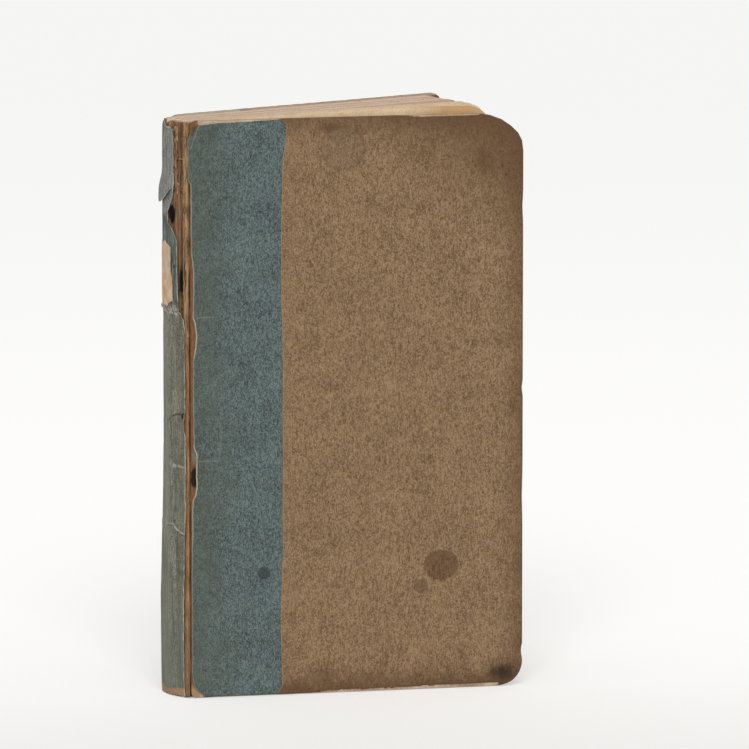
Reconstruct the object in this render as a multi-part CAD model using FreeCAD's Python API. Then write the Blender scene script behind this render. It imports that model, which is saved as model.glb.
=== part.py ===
import FreeCAD, Part
import math
import os

# An old duodecimo in its first plain boards: folded sheets sewn on four hemp cords,
# two thin boards laced on by the cords, a blue paper spine that runs on to both boards,
# and drab brown paper on the rest of the sides. It stands on its tail with the rear
# cover closed and the front cover ajar. The spine paper is torn along the front joint.
#
# Frame, in millimetres: +X runs along the text block from the spine to the fore-edge,
# +Z is up, and the front cover is on -Y. The origin is the middle of the tail face of
# the text block, on the surface that the book stands on.

V = FreeCAD.Vector

# Text block
page_height = 180.0
page_width = 102.0
block_thickness = 13.0
gathering_count = 11
spine_rise = 1.2
fold_bulge = 0.3
fore_edge_hollow = 0.8
groove_width = 0.3
groove_depth = 0.45
parted_gathering = 3
parted_depth = 1.6
head_step = 0.5
page_corner_head = 4.0
page_corner_tail = 3.0

# Covers, cut flush with the leaves at head and tail
fore_square = 3.0
board_thickness = 1.2
cover_paper = 0.2
turn_in = 12.0
strip_width = 29.0
strip_lap = 3.0
ajar_angle = 22.5
head_wear_width = 11.3
head_wear_height = 9.3
head_wear_bow = 0.36
tail_corner = 8.0
joint_corner = 2.0

# Endpapers
leaf_paper = 0.15
running_gap = 0.15
endpaper_start = 1.4
pastedown_margin = 2.0
leaf_lift = 0.3
leaf_flat = 57.0
leaf_bend = 27.0
leaf_corner = 5.0

# Spine paper and label
glue_gap = 0.05
label_paper = 0.1

# Sewing cords, two measured from the tail and two from the head, and the kettle stitches
cord_diameter = 2.0
cord_depth = 0.1
cord_sides = 8
cord_from_tail = {"tail": 35.0, "lower": 85.0}
cord_from_head = {"upper": 58.0, "head": 22.0}
slip_length = 20.0
slip_fan = 8.0
slip_neck = 6.0
slip_thickness = 0.35
kerf_clearance = 0.15
stitch_diameter = 0.6
stitch_sides = 6
stitch_inset = 12.0

# Worn edges of the side paper on the front board: how far each starts and ends from the
# fore-edge, and how much is worn off
head_wear_run = (33.0, 13.0)
tail_wear_run = (71.0, 10.0)
worn_edge_height = 0.5
worn_tail_height = 1.0
worn_edge_depth = 0.45

# The torn outlines below are drawn for a text block of this height and thickness
drawn_height = 180.0
drawn_thickness = 13.0

# Torn outline of the paper on the spine, as (y, z) from the tail upwards
spine_tear = [
    (6.6, 1.2), (2.0, 3.2), (-2.4, 3.9), (-5.4, 5.4),
    (-5.9, 12.0), (-5.8, 34.0), (-6.1, 52.0), (-6.0, 58.0), (-6.4, 74.0),
    (-6.5, 84.0), (-5.7, 86.5), (-6.5, 90.0), (-6.4, 104.0), (-6.3, 118.0),
    (-5.2, 121.4), (-3.9, 123.4), (-3.6, 134.0), (-3.8, 145.5), (-2.4, 148.0),
    (0.2, 150.2), (0.7, 153.6), (-0.8, 155.4), (-2.4, 157.6), (-2.7, 167.0), (-2.5, 176.0),
]

# Torn outline of what is left of the label, as (y, z)
label_outline = [
    (6.0, 121.6), (6.0, 146.6), (2.8, 147.4), (-0.2, 146.8), (-0.7, 143.0), (-0.4, 137.0),
    (0.2, 131.0), (-1.0, 127.4), (-0.8, 123.6), (1.4, 121.2), (3.4, 122.2),
]

# The flap of the upper piece that has come away from the spine: its outline as (y, z),
# and how it curls outwards, as (distance off the spine, z) down its middle
flap_outline = [
    (-2.5, 158.2), (0.6, 156.2), (3.2, 154.4), (4.8, 155.2), (5.4, 158.0), (5.6, 163.0), (-2.6, 163.0),
]
flap_curl = [(-0.1, 163.0), (0.1, 160.6), (0.5, 158.0), (0.85, 156.0), (0.9, 154.2)]

# Torn joint edge of the strip on the front board, as (x, z) from its spine edge. It is
# negative where the paper still turns over the edge of the board.
strip_tear = [
    (2.2, 0.0), (1.0, 2.6), (-0.3, 8.0), (-0.3, 40.0), (0.4, 52.0), (-0.3, 65.0), (1.3, 66.4),
    (1.2, 72.6), (-0.3, 74.0), (-0.3, 98.0), (0.9, 107.0), (-0.3, 117.0), (-0.3, 158.0),
    (0.4, 170.0), (1.1, 176.0), (2.4, 180.0),
]
strip_lip = 0.5

# Worked out from the sizes above
cover_height = page_height
cover_width = page_width + fore_square
strip_end = strip_width + strip_lap
cord_heights = dict(cord_from_tail)
cord_heights.update((name, page_height - down) for name, down in cord_from_head.items())
block_half = block_thickness / 2
pitch = block_thickness / gathering_count
spine_x = -page_width / 2
fore_x = page_width / 2
spine_radius = (block_half**2 + spine_rise**2) / (2 * spine_rise)
centre_x = spine_x + spine_radius - spine_rise
paper_radius = spine_radius + glue_gap
board_inner = block_half + leaf_paper + running_gap + leaf_paper + cover_paper
hinge_y = board_inner + board_thickness
hinge_x = centre_x - math.sqrt(paper_radius**2 - hinge_y**2)
cord_radius = cord_diameter / 2
cord_path = spine_radius - cord_depth - cord_radius
reach = page_width + cover_width


def block(x, y, z):
    """A box from three (low, high) pairs."""
    return Part.makeBox(x[1] - x[0], y[1] - y[0], z[1] - z[0], V(x[0], y[0], z[0]))


def extruded(edges, along):
    return Part.Face(Part.Wire(edges)).extrude(along)


def lines(points):
    return [Part.LineSegment(a, b).toShape() for a, b in zip(points, points[1:])]


def arc(a, b, c):
    return Part.Arc(a, b, c).toShape()


def prism_up(points, z):
    """A polygon in plan, raised from z[0] to z[1]."""
    ring = [V(x, y, z[0]) for x, y in points]
    return extruded(lines(ring + ring[:1]), V(0, 0, z[1] - z[0]))


def prism_across(points, y):
    """A polygon of (x, z) seen from the side, as thick as y[0] to y[1]."""
    ring = [V(x, y[0], z) for x, z in points]
    return extruded(lines(ring + ring[:1]), V(0, y[1] - y[0], 0))


def prism_along(points, x):
    """A polygon of (y, z) seen from the spine, from x[0] to x[1]."""
    ring = [V(x[0], y, z) for y, z in points]
    return extruded(lines(ring + ring[:1]), V(x[1] - x[0], 0, 0))


def on_spine(radius, y):
    """The point of a spine arc at y, in plan."""
    return centre_x - math.sqrt(radius**2 - y**2), y


def fitted(outline, across=True):
    """A torn outline, fitted to the height and, on the spine, the thickness of the book."""
    wide = block_thickness / drawn_thickness if across else 1.0
    tall = page_height / drawn_height
    return [(a * wide, z * tall) for a, z in outline]


# Covers are made in a frame of their own: x runs from the joint to the fore-edge, and y
# goes inwards from the board's outer face to the text block.
def put_front(shape):
    shape = shape.copy()
    shape.rotate(V(0, 0, 0), V(0, 0, 1), -ajar_angle)
    shape.translate(V(hinge_x, -hinge_y, 0))
    return shape


def put_rear(shape):
    shape = shape.mirror(V(0, 0, 0), V(0, 1, 0))
    shape.translate(V(hinge_x, hinge_y, 0))
    return shape


def front_point(x, y):
    turn = math.radians(ajar_angle)
    return (
        hinge_x + x * math.cos(turn) + y * math.sin(turn),
        -hinge_y - x * math.sin(turn) + y * math.cos(turn),
    )


def rear_point(x, y):
    return hinge_x + x, hinge_y - y


def cover_slab(inset, left, y, corner=0.0):
    """The outline of a cover, drawn in by inset, from left to the fore-edge."""
    low, top, right = inset, cover_height - inset, cover_width - inset
    turn = tail_corner - inset
    diagonal = turn * math.sqrt(0.5)
    bow = head_wear_bow

    def at(x, z):
        return V(x, y[0], z)

    foot = at(right, low + turn)
    shoulder = at(right, cover_height - head_wear_height)
    brow = at(cover_width - head_wear_width, top)
    brow_mid = at(
        cover_width - head_wear_width * bow - inset * math.sqrt(0.5),
        cover_height - head_wear_height * bow - inset * math.sqrt(0.5),
    )
    edges = lines([at(left + corner, low), at(right - turn, low)])
    edges += [arc(at(right - turn, low), at(right - turn + diagonal, low + turn - diagonal), foot)]
    edges += lines([foot, shoulder])
    edges += [arc(shoulder, brow_mid, brow)]
    edges += lines([brow, at(left + corner, top)])
    if corner:
        nip = corner * (1 - math.sqrt(0.5))
        edges += [arc(at(left + corner, top), at(left + nip, top - nip), at(left, top - corner))]
        edges += lines([at(left, top - corner), at(left, low + corner)])
        edges += [arc(at(left, low + corner), at(left + nip, low + nip), at(left + corner, low))]
    else:
        edges += lines([at(left, top), at(left, low)])
    return extruded(edges, V(0, y[1] - y[0], 0))


def window(y, shrink=0.0):
    """The part of a board's inner face that the turn-ins leave bare."""
    edge = turn_in + shrink
    return block((-reach, cover_width - edge), y, (edge, cover_height - edge))


def wrap(left, right, corner=0.0):
    """Paper pasted over one board and turned in, between two places along x."""
    paper = cover_slab(0, left, (-cover_paper, board_thickness + cover_paper), corner)
    paper = paper.cut(cover_slab(cover_paper, -1.0, (0, board_thickness)))
    paper = paper.cut(window((board_thickness, board_thickness + cover_paper)))
    return paper.common(block((left, right), (-reach, reach), (-1, cover_height + 1)))


def side_overlap():
    """The edge of the brown side paper, stepped up over the blue strip beside it."""
    outer, inner = -2 * cover_paper, -cover_paper
    step = block((strip_end, strip_end + 2 * cover_paper), (outer, 0), (0, cover_height))
    shelf = block((strip_width, strip_end + cover_paper), (outer, inner), (0, cover_height))
    return step.fuse(shelf)


def strip_edge():
    """The strip's turn over the outer spine edge of the board, round the hinge line."""
    p, diagonal = cover_paper, cover_paper * math.sqrt(0.5)
    edges = [arc(V(0, -p, 0), V(-diagonal, -diagonal, 0), V(-p, 0, 0))]
    edges += lines([V(-p, 0, 0), V(-p, strip_lip, 0), V(0, strip_lip, 0), V(0, -p, 0)])
    return extruded(edges, V(0, 0, cover_height))


def slip_outline(spread):
    """A laced cord end: a narrow neck, then a frayed fan, as (x, z) about its middle."""
    neck = cord_radius + spread
    fan = slip_fan / 2 + spread
    tip = slip_length + spread
    return [
        (0.15 - spread, -neck), (slip_neck, -neck), (tip - 3.0, -fan), (tip - 1.2, -0.55 * fan),
        (tip - 1.8, -0.3 * fan), (tip, 0.1 * fan), (tip - 1.4, 0.4 * fan), (tip - 2.6, fan),
        (slip_neck, neck), (0.15 - spread, neck),
    ]


def slip(z, spread, y):
    return prism_across([(x, z + dz) for x, dz in slip_outline(spread)], y)


def cord_hole(z, x, y):
    """The room that a cord has where it passes through a piece."""
    half = cord_radius + kerf_clearance
    return block(x, y, (z - half, z + half))


def board(corner):
    core = cover_slab(cover_paper, 0, (0, board_thickness), corner)
    for z in cord_heights.values():
        core = core.cut(slip(z, kerf_clearance, (-1, slip_thickness + kerf_clearance)))
        core = core.cut(cord_hole(z, (-1, endpaper_start), (-1, board_thickness + 1)))
    return core


def side_paper():
    return wrap(strip_end, cover_width + 1).fuse(side_overlap())


def front_side_paper():
    paper, outer = side_paper(), (-1, worn_edge_depth)
    head, tail = ([cover_width - x for x in run] for run in (head_wear_run, tail_wear_run))
    paper = paper.cut(block(head, outer, (cover_height - worn_edge_height, cover_height + 1)))
    return paper.cut(block(tail, outer, (-1, worn_tail_height)))


def front_spine_strip():
    paper = wrap(0, strip_end, joint_corner).fuse(strip_edge())
    for z in cord_heights.values():
        paper = paper.cut(cord_hole(z, (-1, 0), (0, strip_lip)))
    tear = fitted(strip_tear, across=False)
    waste = [(-2, -1), (tear[0][0], -1)] + tear
    waste += [(tear[-1][0], cover_height + 1), (-2, cover_height + 1)]
    return paper.cut(prism_across(waste, (-1, board_thickness / 2)))


def pastedown():
    """The leaf pasted on a board: it steps down from the turn-ins to the board."""
    y_board, y_turn = board_thickness, board_thickness + cover_paper
    sheet = cover_slab(pastedown_margin, endpaper_start, (y_board, y_turn + leaf_paper))
    ring = cover_slab(0, -1, (y_board, y_turn)).cut(window((y_board, y_turn)))
    pocket = window((y_board + leaf_paper, y_turn + leaf_paper + 1), leaf_paper)
    return sheet.cut(ring).cut(pocket)


def free_leaf(bend):
    """The loose leaf against the text block, on the front side, curling off it by bend."""
    root, y = hinge_x + endpaper_start, -block_half
    flat_end = spine_x + leaf_flat
    z = leaf_lift
    if bend:
        radius = (fore_x - flat_end) / math.radians(bend)

        def curl(thickness, degrees):
            r, a = radius - thickness, math.radians(degrees)
            return V(flat_end + r * math.sin(a), y - radius + r * math.cos(a), z)

        edges = lines([V(root, y, z), curl(0, 0)])
        edges += [arc(curl(0, 0), curl(0, bend / 2), curl(0, bend))]
        edges += lines([curl(0, bend), curl(leaf_paper, bend)])
        edges += [arc(curl(leaf_paper, bend), curl(leaf_paper, bend / 2), curl(leaf_paper, 0))]
        edges += lines([curl(leaf_paper, 0), V(root, y - leaf_paper, z), V(root, y, z)])
        sheet = extruded(edges, V(0, 0, page_height - 2 * leaf_lift))
    else:
        sheet = block((root, fore_x), (y - leaf_paper, y), (z, page_height - leaf_lift))
    tip = sheet.BoundBox.XMax
    return sheet.common(rounded_page(tip, leaf_corner, leaf_corner, leaf_lift))


def rounded_page(right, head, tail, lift):
    """A slab over the whole thickness, rounded at the two fore-edge corners of a page."""
    low, top, left = lift, page_height - lift, spine_x - reach
    share = 1 - math.sqrt(0.5)

    def at(x, z):
        return V(x, -reach, z)

    edges = lines([at(left, low), at(right - tail, low)])
    edges += [arc(at(right - tail, low), at(right - share * tail, low + share * tail), at(right, low + tail))]
    edges += lines([at(right, low + tail), at(right, top - head)])
    edges += [arc(at(right, top - head), at(right - share * head, top - share * head), at(right - head, top))]
    edges += lines([at(right - head, top), at(left, top), at(left, low)])
    return extruded(edges, V(0, 2 * reach, 0))


def endpaper_fold(point, side):
    """The fold between pastedown and free leaf, bridging the inner joint."""
    x0, x1 = endpaper_start, endpaper_start + leaf_paper
    web = [
        (hinge_x + x0, side * block_half),
        (hinge_x + x1, side * (block_half + leaf_paper)),
        point(x1, board_thickness + leaf_paper),
        point(x0, board_thickness),
    ]
    if side > 0:
        web = [(hinge_x + x0, y) for y in (block_half, board_inner)]
        web += [(hinge_x + x1, y) for y in (board_inner, block_half)]
    return prism_up(web, (pastedown_margin, cover_height - pastedown_margin))


def front_endpaper():
    fold = endpaper_fold(front_point, -1).cut(put_front(wrap(0, strip_end)))
    return put_front(pastedown()).fuse(fold).fuse(free_leaf(leaf_bend))


def rear_endpaper():
    fold = endpaper_fold(rear_point, 1).cut(put_rear(wrap(0, strip_end)))
    leaf = free_leaf(0).mirror(V(0, 0, 0), V(0, 1, 0))
    return put_rear(pastedown()).fuse(fold).fuse(leaf)


def boundaries():
    """The planes between neighbouring gatherings."""
    return [-block_half + i * pitch for i in range(1, gathering_count)]


def block_plan():
    """The text block in plan: rounded folds at the spine, a hollow, grooved fore-edge."""
    def valley(y):
        x, y = on_spine(spine_radius, y)
        return V(x + fold_bulge, y, 0)

    def fore(y, back=0.0):
        return V(fore_x - fore_edge_hollow * (1 - (y / block_half) ** 2) - back, y, 0)

    edges = []
    for i in range(gathering_count):
        low = -block_half + i * pitch
        crown = V(*on_spine(spine_radius, low + pitch / 2), 0)
        edges += [arc(valley(low), crown, valley(low + pitch))]
    ring = [valley(block_half), fore(block_half)]
    for y in reversed(boundaries()):
        ring += [fore(y + groove_width / 2), fore(y, groove_depth), fore(y - groove_width / 2)]
    ring += [fore(-block_half), valley(-block_half)]
    return edges + lines(ring)


def end_waste(at_head):
    """What the stepped, grooved head or tail leaves above or below it, as (y, z)."""
    profile = []
    for i in range(gathering_count):
        low = -block_half + i * pitch
        high = low + pitch
        step = head_step * abs(math.sin(2.3 * i + 0.7)) if at_head else 0.0
        start = low + groove_width / 2 if i else low - 1
        stop = high - groove_width / 2 if i < gathering_count - 1 else high + 1
        profile += [(start, step), (stop, step)]
        if i < gathering_count - 1:
            parted = at_head and i == parted_gathering - 1
            profile += [(high, parted_depth if parted else groove_depth)]
    profile = [(y, page_height - d if at_head else d) for y, d in profile]
    beyond = page_height + 1 if at_head else -1
    profile += [(block_half + 1, beyond), (-block_half - 1, beyond)]
    return prism_along(profile, (spine_x - 2 * spine_rise, fore_x + 1))


def spine_kerf(z, width, depth):
    """The channel sawn across the folds for a cord or thread."""
    low = V(centre_x, 0, z - width / 2)
    ring = Part.makeCylinder(spine_radius + 1, width, low)
    ring = ring.cut(Part.makeCylinder(spine_radius - depth, width, low))
    return ring.common(block((centre_x - 2 * spine_radius, centre_x), (-reach, reach), (z - width, z + width)))


def stitch_heights():
    return stitch_inset, page_height - stitch_inset


def text_block():
    solid = extruded(block_plan(), V(0, 0, page_height))
    solid = solid.common(rounded_page(fore_x, page_corner_head, page_corner_tail, 0))
    solid = solid.cut(end_waste(True)).cut(end_waste(False))
    for z in cord_heights.values():
        deep = cord_depth + cord_diameter + kerf_clearance
        solid = solid.cut(spine_kerf(z, cord_diameter + 2 * kerf_clearance, deep))
    for z in stitch_heights():
        deep = cord_depth + stitch_diameter + kerf_clearance
        solid = solid.cut(spine_kerf(z, stitch_diameter + 2 * kerf_clearance, deep))
    return solid


def spine_ring(radius, thick_radius, z, sides):
    """A thread bent along the spine, within the sides of the text block."""
    half_turn = math.degrees(math.asin((block_half - cord_depth) / (radius + thick_radius)))
    corners = [math.tau * (i + 0.5) / sides for i in range(sides)]
    section = [
        V(centre_x - radius + thick_radius * math.cos(a), 0, z + thick_radius * math.sin(a))
        for a in corners
    ]
    middle, up = V(centre_x, 0, 0), V(0, 0, 1)
    ring = Part.Face(Part.Wire(lines(section + section[:1]))).revolve(middle, up, 2 * half_turn)
    ring.rotate(middle, up, -half_turn)
    return ring, math.radians(half_turn)


def sewing_cord(z):
    """One cord: across the spine, through both joints and fanned out on both boards."""
    cord, end = spine_ring(cord_path, cord_radius, z, cord_sides)
    grip = end - math.radians(2)
    near, far = cord_path + 0.6 * cord_radius, cord_path - 0.6 * cord_radius
    for side, point, put in ((-1, front_point, put_front), (1, rear_point, put_rear)):
        bend = [
            (centre_x - near * math.cos(grip), side * near * math.sin(grip)),
            (centre_x - far * math.cos(grip), side * far * math.sin(grip)),
            point(1.0, slip_thickness + glue_gap),
            point(0.15, glue_gap),
        ]
        cord = cord.fuse(prism_up(bend, (z - 0.9 * cord_radius, z + 0.9 * cord_radius)))
        cord = cord.fuse(put(slip(z, 0, (glue_gap, glue_gap + slip_thickness))))
    return cord


def kettle_stitch(z):
    radius = stitch_diameter / 2
    return spine_ring(spine_radius - cord_depth - radius, radius, z, stitch_sides)[0]


def spine_paper():
    """One sheet: round the spine, over the rear joint and out on to the rear board."""
    outer = paper_radius + cover_paper
    front = -block_half
    turn = math.asin(hinge_y / paper_radius)
    half_way = (turn + math.pi / 2) / 2

    def p(x, y):
        return V(x, y, 0)

    def about_hinge(angle):
        return p(hinge_x - cover_paper * math.cos(angle), hinge_y + cover_paper * math.sin(angle))

    edges = [arc(p(*on_spine(paper_radius, front)), p(*on_spine(paper_radius, 0)), p(hinge_x, hinge_y))]
    edges += lines([
        p(hinge_x, hinge_y),
        p(hinge_x + strip_end, hinge_y),
        p(hinge_x + strip_end, hinge_y + cover_paper),
        p(hinge_x, hinge_y + cover_paper),
    ])
    edges += [arc(p(hinge_x, hinge_y + cover_paper), about_hinge(half_way), about_hinge(turn))]
    edges += [arc(about_hinge(turn), p(*on_spine(outer, 0)), p(*on_spine(outer, front)))]
    edges += lines([p(*on_spine(outer, front)), p(*on_spine(paper_radius, front))])
    sheet = extruded(edges, V(0, 0, cover_height))
    tear = fitted(spine_tear)
    keep = [(reach, 0), (reach, cover_height), (tear[-1][0], cover_height)]
    keep += list(reversed(tear)) + [(hinge_y, 0)]
    sheet = sheet.common(prism_along(keep, (-reach, reach)))
    edge_only = (cover_paper, cover_height - cover_paper)
    turned = wrap(0, strip_end).cut(block((-1, strip_end), (-1, 0), edge_only))
    return sheet.fuse(put_rear(turned)).fuse(spine_flap())


def spine_flap():
    """The lifted lower end of the upper piece of spine paper."""
    foot = centre_x - paper_radius
    tall = page_height / drawn_height
    back = [(foot - off, z * tall) for off, z in flap_curl]
    face = [(x - cover_paper, z) for x, z in reversed(back)]
    flap = prism_across(back + face, (-block_half, block_half))
    flap = flap.common(prism_along(fitted(flap_outline), (-reach, 0)))
    return flap.cut(Part.makeCylinder(paper_radius, cover_height, V(centre_x, 0, 0)))


def spine_label():
    inner = paper_radius + cover_paper
    shell = Part.makeCylinder(inner + label_paper, cover_height, V(centre_x, 0, 0))
    shell = shell.cut(Part.makeCylinder(inner, cover_height, V(centre_x, 0, 0)))
    return shell.common(prism_along(fitted(label_outline), (centre_x - 2 * inner, centre_x)))


pieces = {
    "text_block": text_block(),
    "spine_paper": spine_paper(),
    "spine_label": spine_label(),
    "front_endpaper": front_endpaper(),
    "rear_endpaper": rear_endpaper(),
    "front_board": put_front(board(joint_corner)),
    "front_side_paper": put_front(front_side_paper()),
    "front_spine_strip": put_front(front_spine_strip()),
    "rear_board": put_rear(board(0.0)),
    "rear_side_paper": put_rear(side_paper()),
}
for name, z in cord_heights.items():
    pieces[f"sewing_cord_{name}"] = sewing_cord(z)
for name, z in zip(("tail", "head"), stitch_heights()):
    pieces[f"kettle_stitch_{name}"] = kettle_stitch(z)

os.makedirs("parts", exist_ok=True)
for name, shape in pieces.items():
    shape = shape.removeSplitter()
    solids = shape.Solids
    box = shape.BoundBox
    print(
        f"{name}: {len(solids)} solid, valid {shape.isValid()}, {shape.Volume / 1000:.3f} cm3, "
        f"z {box.ZMin:.2f} to {box.ZMax:.2f}"
    )
    whole = solids[0] if len(solids) == 1 else Part.makeCompound(solids)
    whole.exportStep(f"parts/{name}.step")
print(f"hinges at x {hinge_x:.4f}, y -{hinge_y:.4f} and {hinge_y:.4f}")
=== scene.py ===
import math

import bmesh
import bpy
from mathutils import Matrix, Vector, noise
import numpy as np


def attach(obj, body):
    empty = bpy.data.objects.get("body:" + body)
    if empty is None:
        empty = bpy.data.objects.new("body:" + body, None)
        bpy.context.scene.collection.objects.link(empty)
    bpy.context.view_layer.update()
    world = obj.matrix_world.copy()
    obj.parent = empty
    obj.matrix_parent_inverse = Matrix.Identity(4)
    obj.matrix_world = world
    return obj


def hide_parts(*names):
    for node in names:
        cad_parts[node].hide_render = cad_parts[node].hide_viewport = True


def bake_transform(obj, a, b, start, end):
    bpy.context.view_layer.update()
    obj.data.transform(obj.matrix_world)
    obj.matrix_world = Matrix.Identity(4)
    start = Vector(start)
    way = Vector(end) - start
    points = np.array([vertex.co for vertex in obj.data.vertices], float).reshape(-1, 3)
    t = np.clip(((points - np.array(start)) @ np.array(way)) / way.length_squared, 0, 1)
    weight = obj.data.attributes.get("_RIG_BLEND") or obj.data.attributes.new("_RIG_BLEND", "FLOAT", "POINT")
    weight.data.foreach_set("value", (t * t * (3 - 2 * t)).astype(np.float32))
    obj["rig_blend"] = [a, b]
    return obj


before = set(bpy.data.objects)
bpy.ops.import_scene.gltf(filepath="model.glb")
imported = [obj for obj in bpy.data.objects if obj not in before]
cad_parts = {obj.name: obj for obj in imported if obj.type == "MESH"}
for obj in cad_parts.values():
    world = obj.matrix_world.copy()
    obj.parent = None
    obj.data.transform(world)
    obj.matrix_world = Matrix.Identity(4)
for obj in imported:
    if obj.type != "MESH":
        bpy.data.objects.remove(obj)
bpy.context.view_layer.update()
print("frame loaded:", len(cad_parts), "nodes")

# Everything below is measured in millimetres and scaled to metres as a piece is finished.
mm = 0.001

book = {
    "height": 180.0,
    "pageWidth": 102.0,
    "blockHalf": 6.5,
    "coverWidth": 105.0,
    "board": 1.2,
    "paper": 0.2,
    "turnIn": 12.0,
    "stripWidth": 29.0,
    "stripEnd": 32.0,
    "ajar": 22.5,
    "hinge": (-50.2283, 8.35),
    "spineRadius": 18.2042,
    "spineCentre": -33.9958,
    "tailCorner": 8.0,
    "rearHeadCut": [(101.4, 180.0), (103.0, 179.6), (104.2, 178.7), (104.8, 177.4), (105.0, 175.5)],
    "headCut": [
        (91.0, 180.0), (94.6, 179.3), (98.2, 177.9), (101.2, 175.8), (103.4, 173.6), (104.6, 171.2), (105.0, 168.0),
    ],
    "gatherings": 11,
    "cords": {"tail": 35.0, "lower": 85.0, "upper": 122.0, "head": 158.0},
    "stitches": {"tail": 12.0, "head": 168.0},
}

hingeX, hingeY = book["hinge"]
frontPlace = Matrix.Translation((hingeX, -hingeY, 0)) @ Matrix.Rotation(math.radians(-book["ajar"]), 4, "Z")
rearPlace = Matrix.Translation((hingeX, hingeY, 0)) @ Matrix.Diagonal((1, -1, 1, 1))
stay = Matrix.Identity(4)
places = {True: frontPlace, False: rearPlace}  # by front or rear
covers = {True: "front_cover", False: "rear_cover"}
endpapers = {True: ["front_endpaper"], False: ["rear_endpaper"]}
headCuts = {True: "headCut", False: "rearHeadCut"}


def lerp(a, b, t):
    return a + (b - a) * t


def smooth(a, b, t):
    t = min(1.0, max(0.0, (t - a) / (b - a)))
    return t * t * (3 - 2 * t)


def along(points, t):  # a value read off a chain of (t, value) points
    if t <= points[0][0]:
        return points[0][1]
    for (a, va), (b, vb) in zip(points, points[1:]):
        if t <= b:
            return lerp(va, vb, (t - a) / (b - a))
    return points[-1][1]


def ripple(x, y, z, seed=0.0):  # smooth noise between -1 and 1
    return noise.noise(Vector((x + seed * 13.7, y - seed * 7.1, z + seed * 3.3)))


def unit(t):  # from between -1 and 1 to between 0 and 1
    return 0.5 + 0.5 * t


def swell(x, y, z):
    return unit(ripple(x, y, z))


def ragged(t, seed, coarse=0.35, fine=1.6):
    return 0.65 * ripple(t * coarse, seed, 0, seed) + 0.35 * ripple(t * fine, 0, seed, seed + 4)


# Shader graphs

def tone(r, g, b):  # a colour as it is read off a picture, made linear
    return tuple(
        (c / 12.92 if c <= 0.04045 else ((c + 0.055) / 1.055) ** 2.4)
        for c in (r / 255, g / 255, b / 255)
    ) + (1.0,)


class Graph:
    def __init__(self, tree):
        self.tree, self.nodes, self.links = tree, tree.nodes, tree.links

    def put(self, kind, **settings):
        node = self.nodes.new(kind)
        for key, value in settings.items():
            setattr(node, key, value)
        return node

    def feed(self, socket, value):
        if isinstance(value, bpy.types.NodeSocket):
            self.links.new(value, socket)
        else:
            socket.default_value = value

    def sum(self, operation, a, b=0.0, c=None, clamp=False):
        node = self.put("ShaderNodeMath", operation=operation, use_clamp=clamp)
        self.feed(node.inputs[0], a)
        self.feed(node.inputs[1], b)
        if c is not None:
            self.feed(node.inputs[2], c)
        return node.outputs[0]

    def plus(self, a, b):
        return self.sum("ADD", a, b)

    def minus(self, a, b):
        return self.sum("SUBTRACT", a, b)

    def times(self, a, b):
        return self.sum("MULTIPLY", a, b)

    def centred(self, value, size):  # a noise about zero, this far to either side
        return self.times(self.minus(value, 0.5), size)

    def stray(self, a, value, size):
        return self.plus(a, self.centred(value, size))

    def noise(self, vector, scale, detail=2.0, rough=0.5, stretch=None):
        if stretch:
            mapping = self.put("ShaderNodeMapping")
            self.feed(mapping.inputs["Vector"], vector)
            mapping.inputs["Scale"].default_value = stretch
            vector = mapping.outputs[0]
        node = self.put("ShaderNodeTexNoise")
        self.feed(node.inputs["Vector"], vector)
        node.inputs["Scale"].default_value = scale
        node.inputs["Detail"].default_value = detail
        node.inputs["Roughness"].default_value = rough
        return node.outputs["Fac"]

    def ramp(self, value, low, high, a=0.0, b=1.0):
        node = self.put("ShaderNodeMapRange", interpolation_type="SMOOTHSTEP")
        self.feed(node.inputs["Value"], value)
        node.inputs["From Min"].default_value = low
        node.inputs["From Max"].default_value = high
        node.inputs["To Min"].default_value = a
        node.inputs["To Max"].default_value = b
        return node.outputs["Result"]

    def mix(self, fac, a, b, blend="MIX"):
        node = self.put("ShaderNodeMix", data_type="RGBA", blend_type=blend)
        self.feed(node.inputs["Factor"], fac)
        self.feed(node.inputs[6], a)
        self.feed(node.inputs[7], b)
        return node.outputs[2]

    def tint(self, colour, shade, value, low, high, amount):
        return self.mix(self.ramp(value, low, high, 0.0, amount), colour, shade)

    def split(self, vector):
        node = self.put("ShaderNodeSeparateXYZ")
        self.feed(node.inputs[0], vector)
        return node.outputs

    def attribute(self, name, output="Fac"):
        return self.put("ShaderNodeAttribute", attribute_name=name).outputs[output]

    def use(self, group, **values):
        node = self.put("ShaderNodeGroup", node_tree=group)
        for key, value in values.items():
            self.feed(node.inputs[key], value)
        return node.outputs


# Camera and studio

cameraSettings = {
    "azimuth": -34.63,
    "elevation": 8.85,
    "distance": 2805.0,
    "aim": (20.03, 5.89),
    "lens": 432.58,
}


def makeCamera(s):
    a, e = math.radians(s["azimuth"]), math.radians(s["elevation"])
    back = Vector((math.sin(a) * math.cos(e), -math.cos(a) * math.cos(e), math.sin(e)))
    right = Vector((math.cos(a), math.sin(a), 0))
    up = back.cross(right)
    target = Vector((0, 0, book["height"] / 2)) + right * s["aim"][0] + up * s["aim"][1]
    data = bpy.data.cameras.new("camera")
    data.lens, data.sensor_width = s["lens"], 36.0
    data.clip_start, data.clip_end = 0.1, 60.0
    camera = bpy.data.objects.new("camera", data)
    bpy.context.scene.collection.objects.link(camera)
    camera.location = (target + back * s["distance"]) * mm
    camera.rotation_mode = "QUATERNION"
    camera.rotation_quaternion = (-back).to_track_quat("-Z", "Y")
    bpy.context.scene.camera = camera


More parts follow.
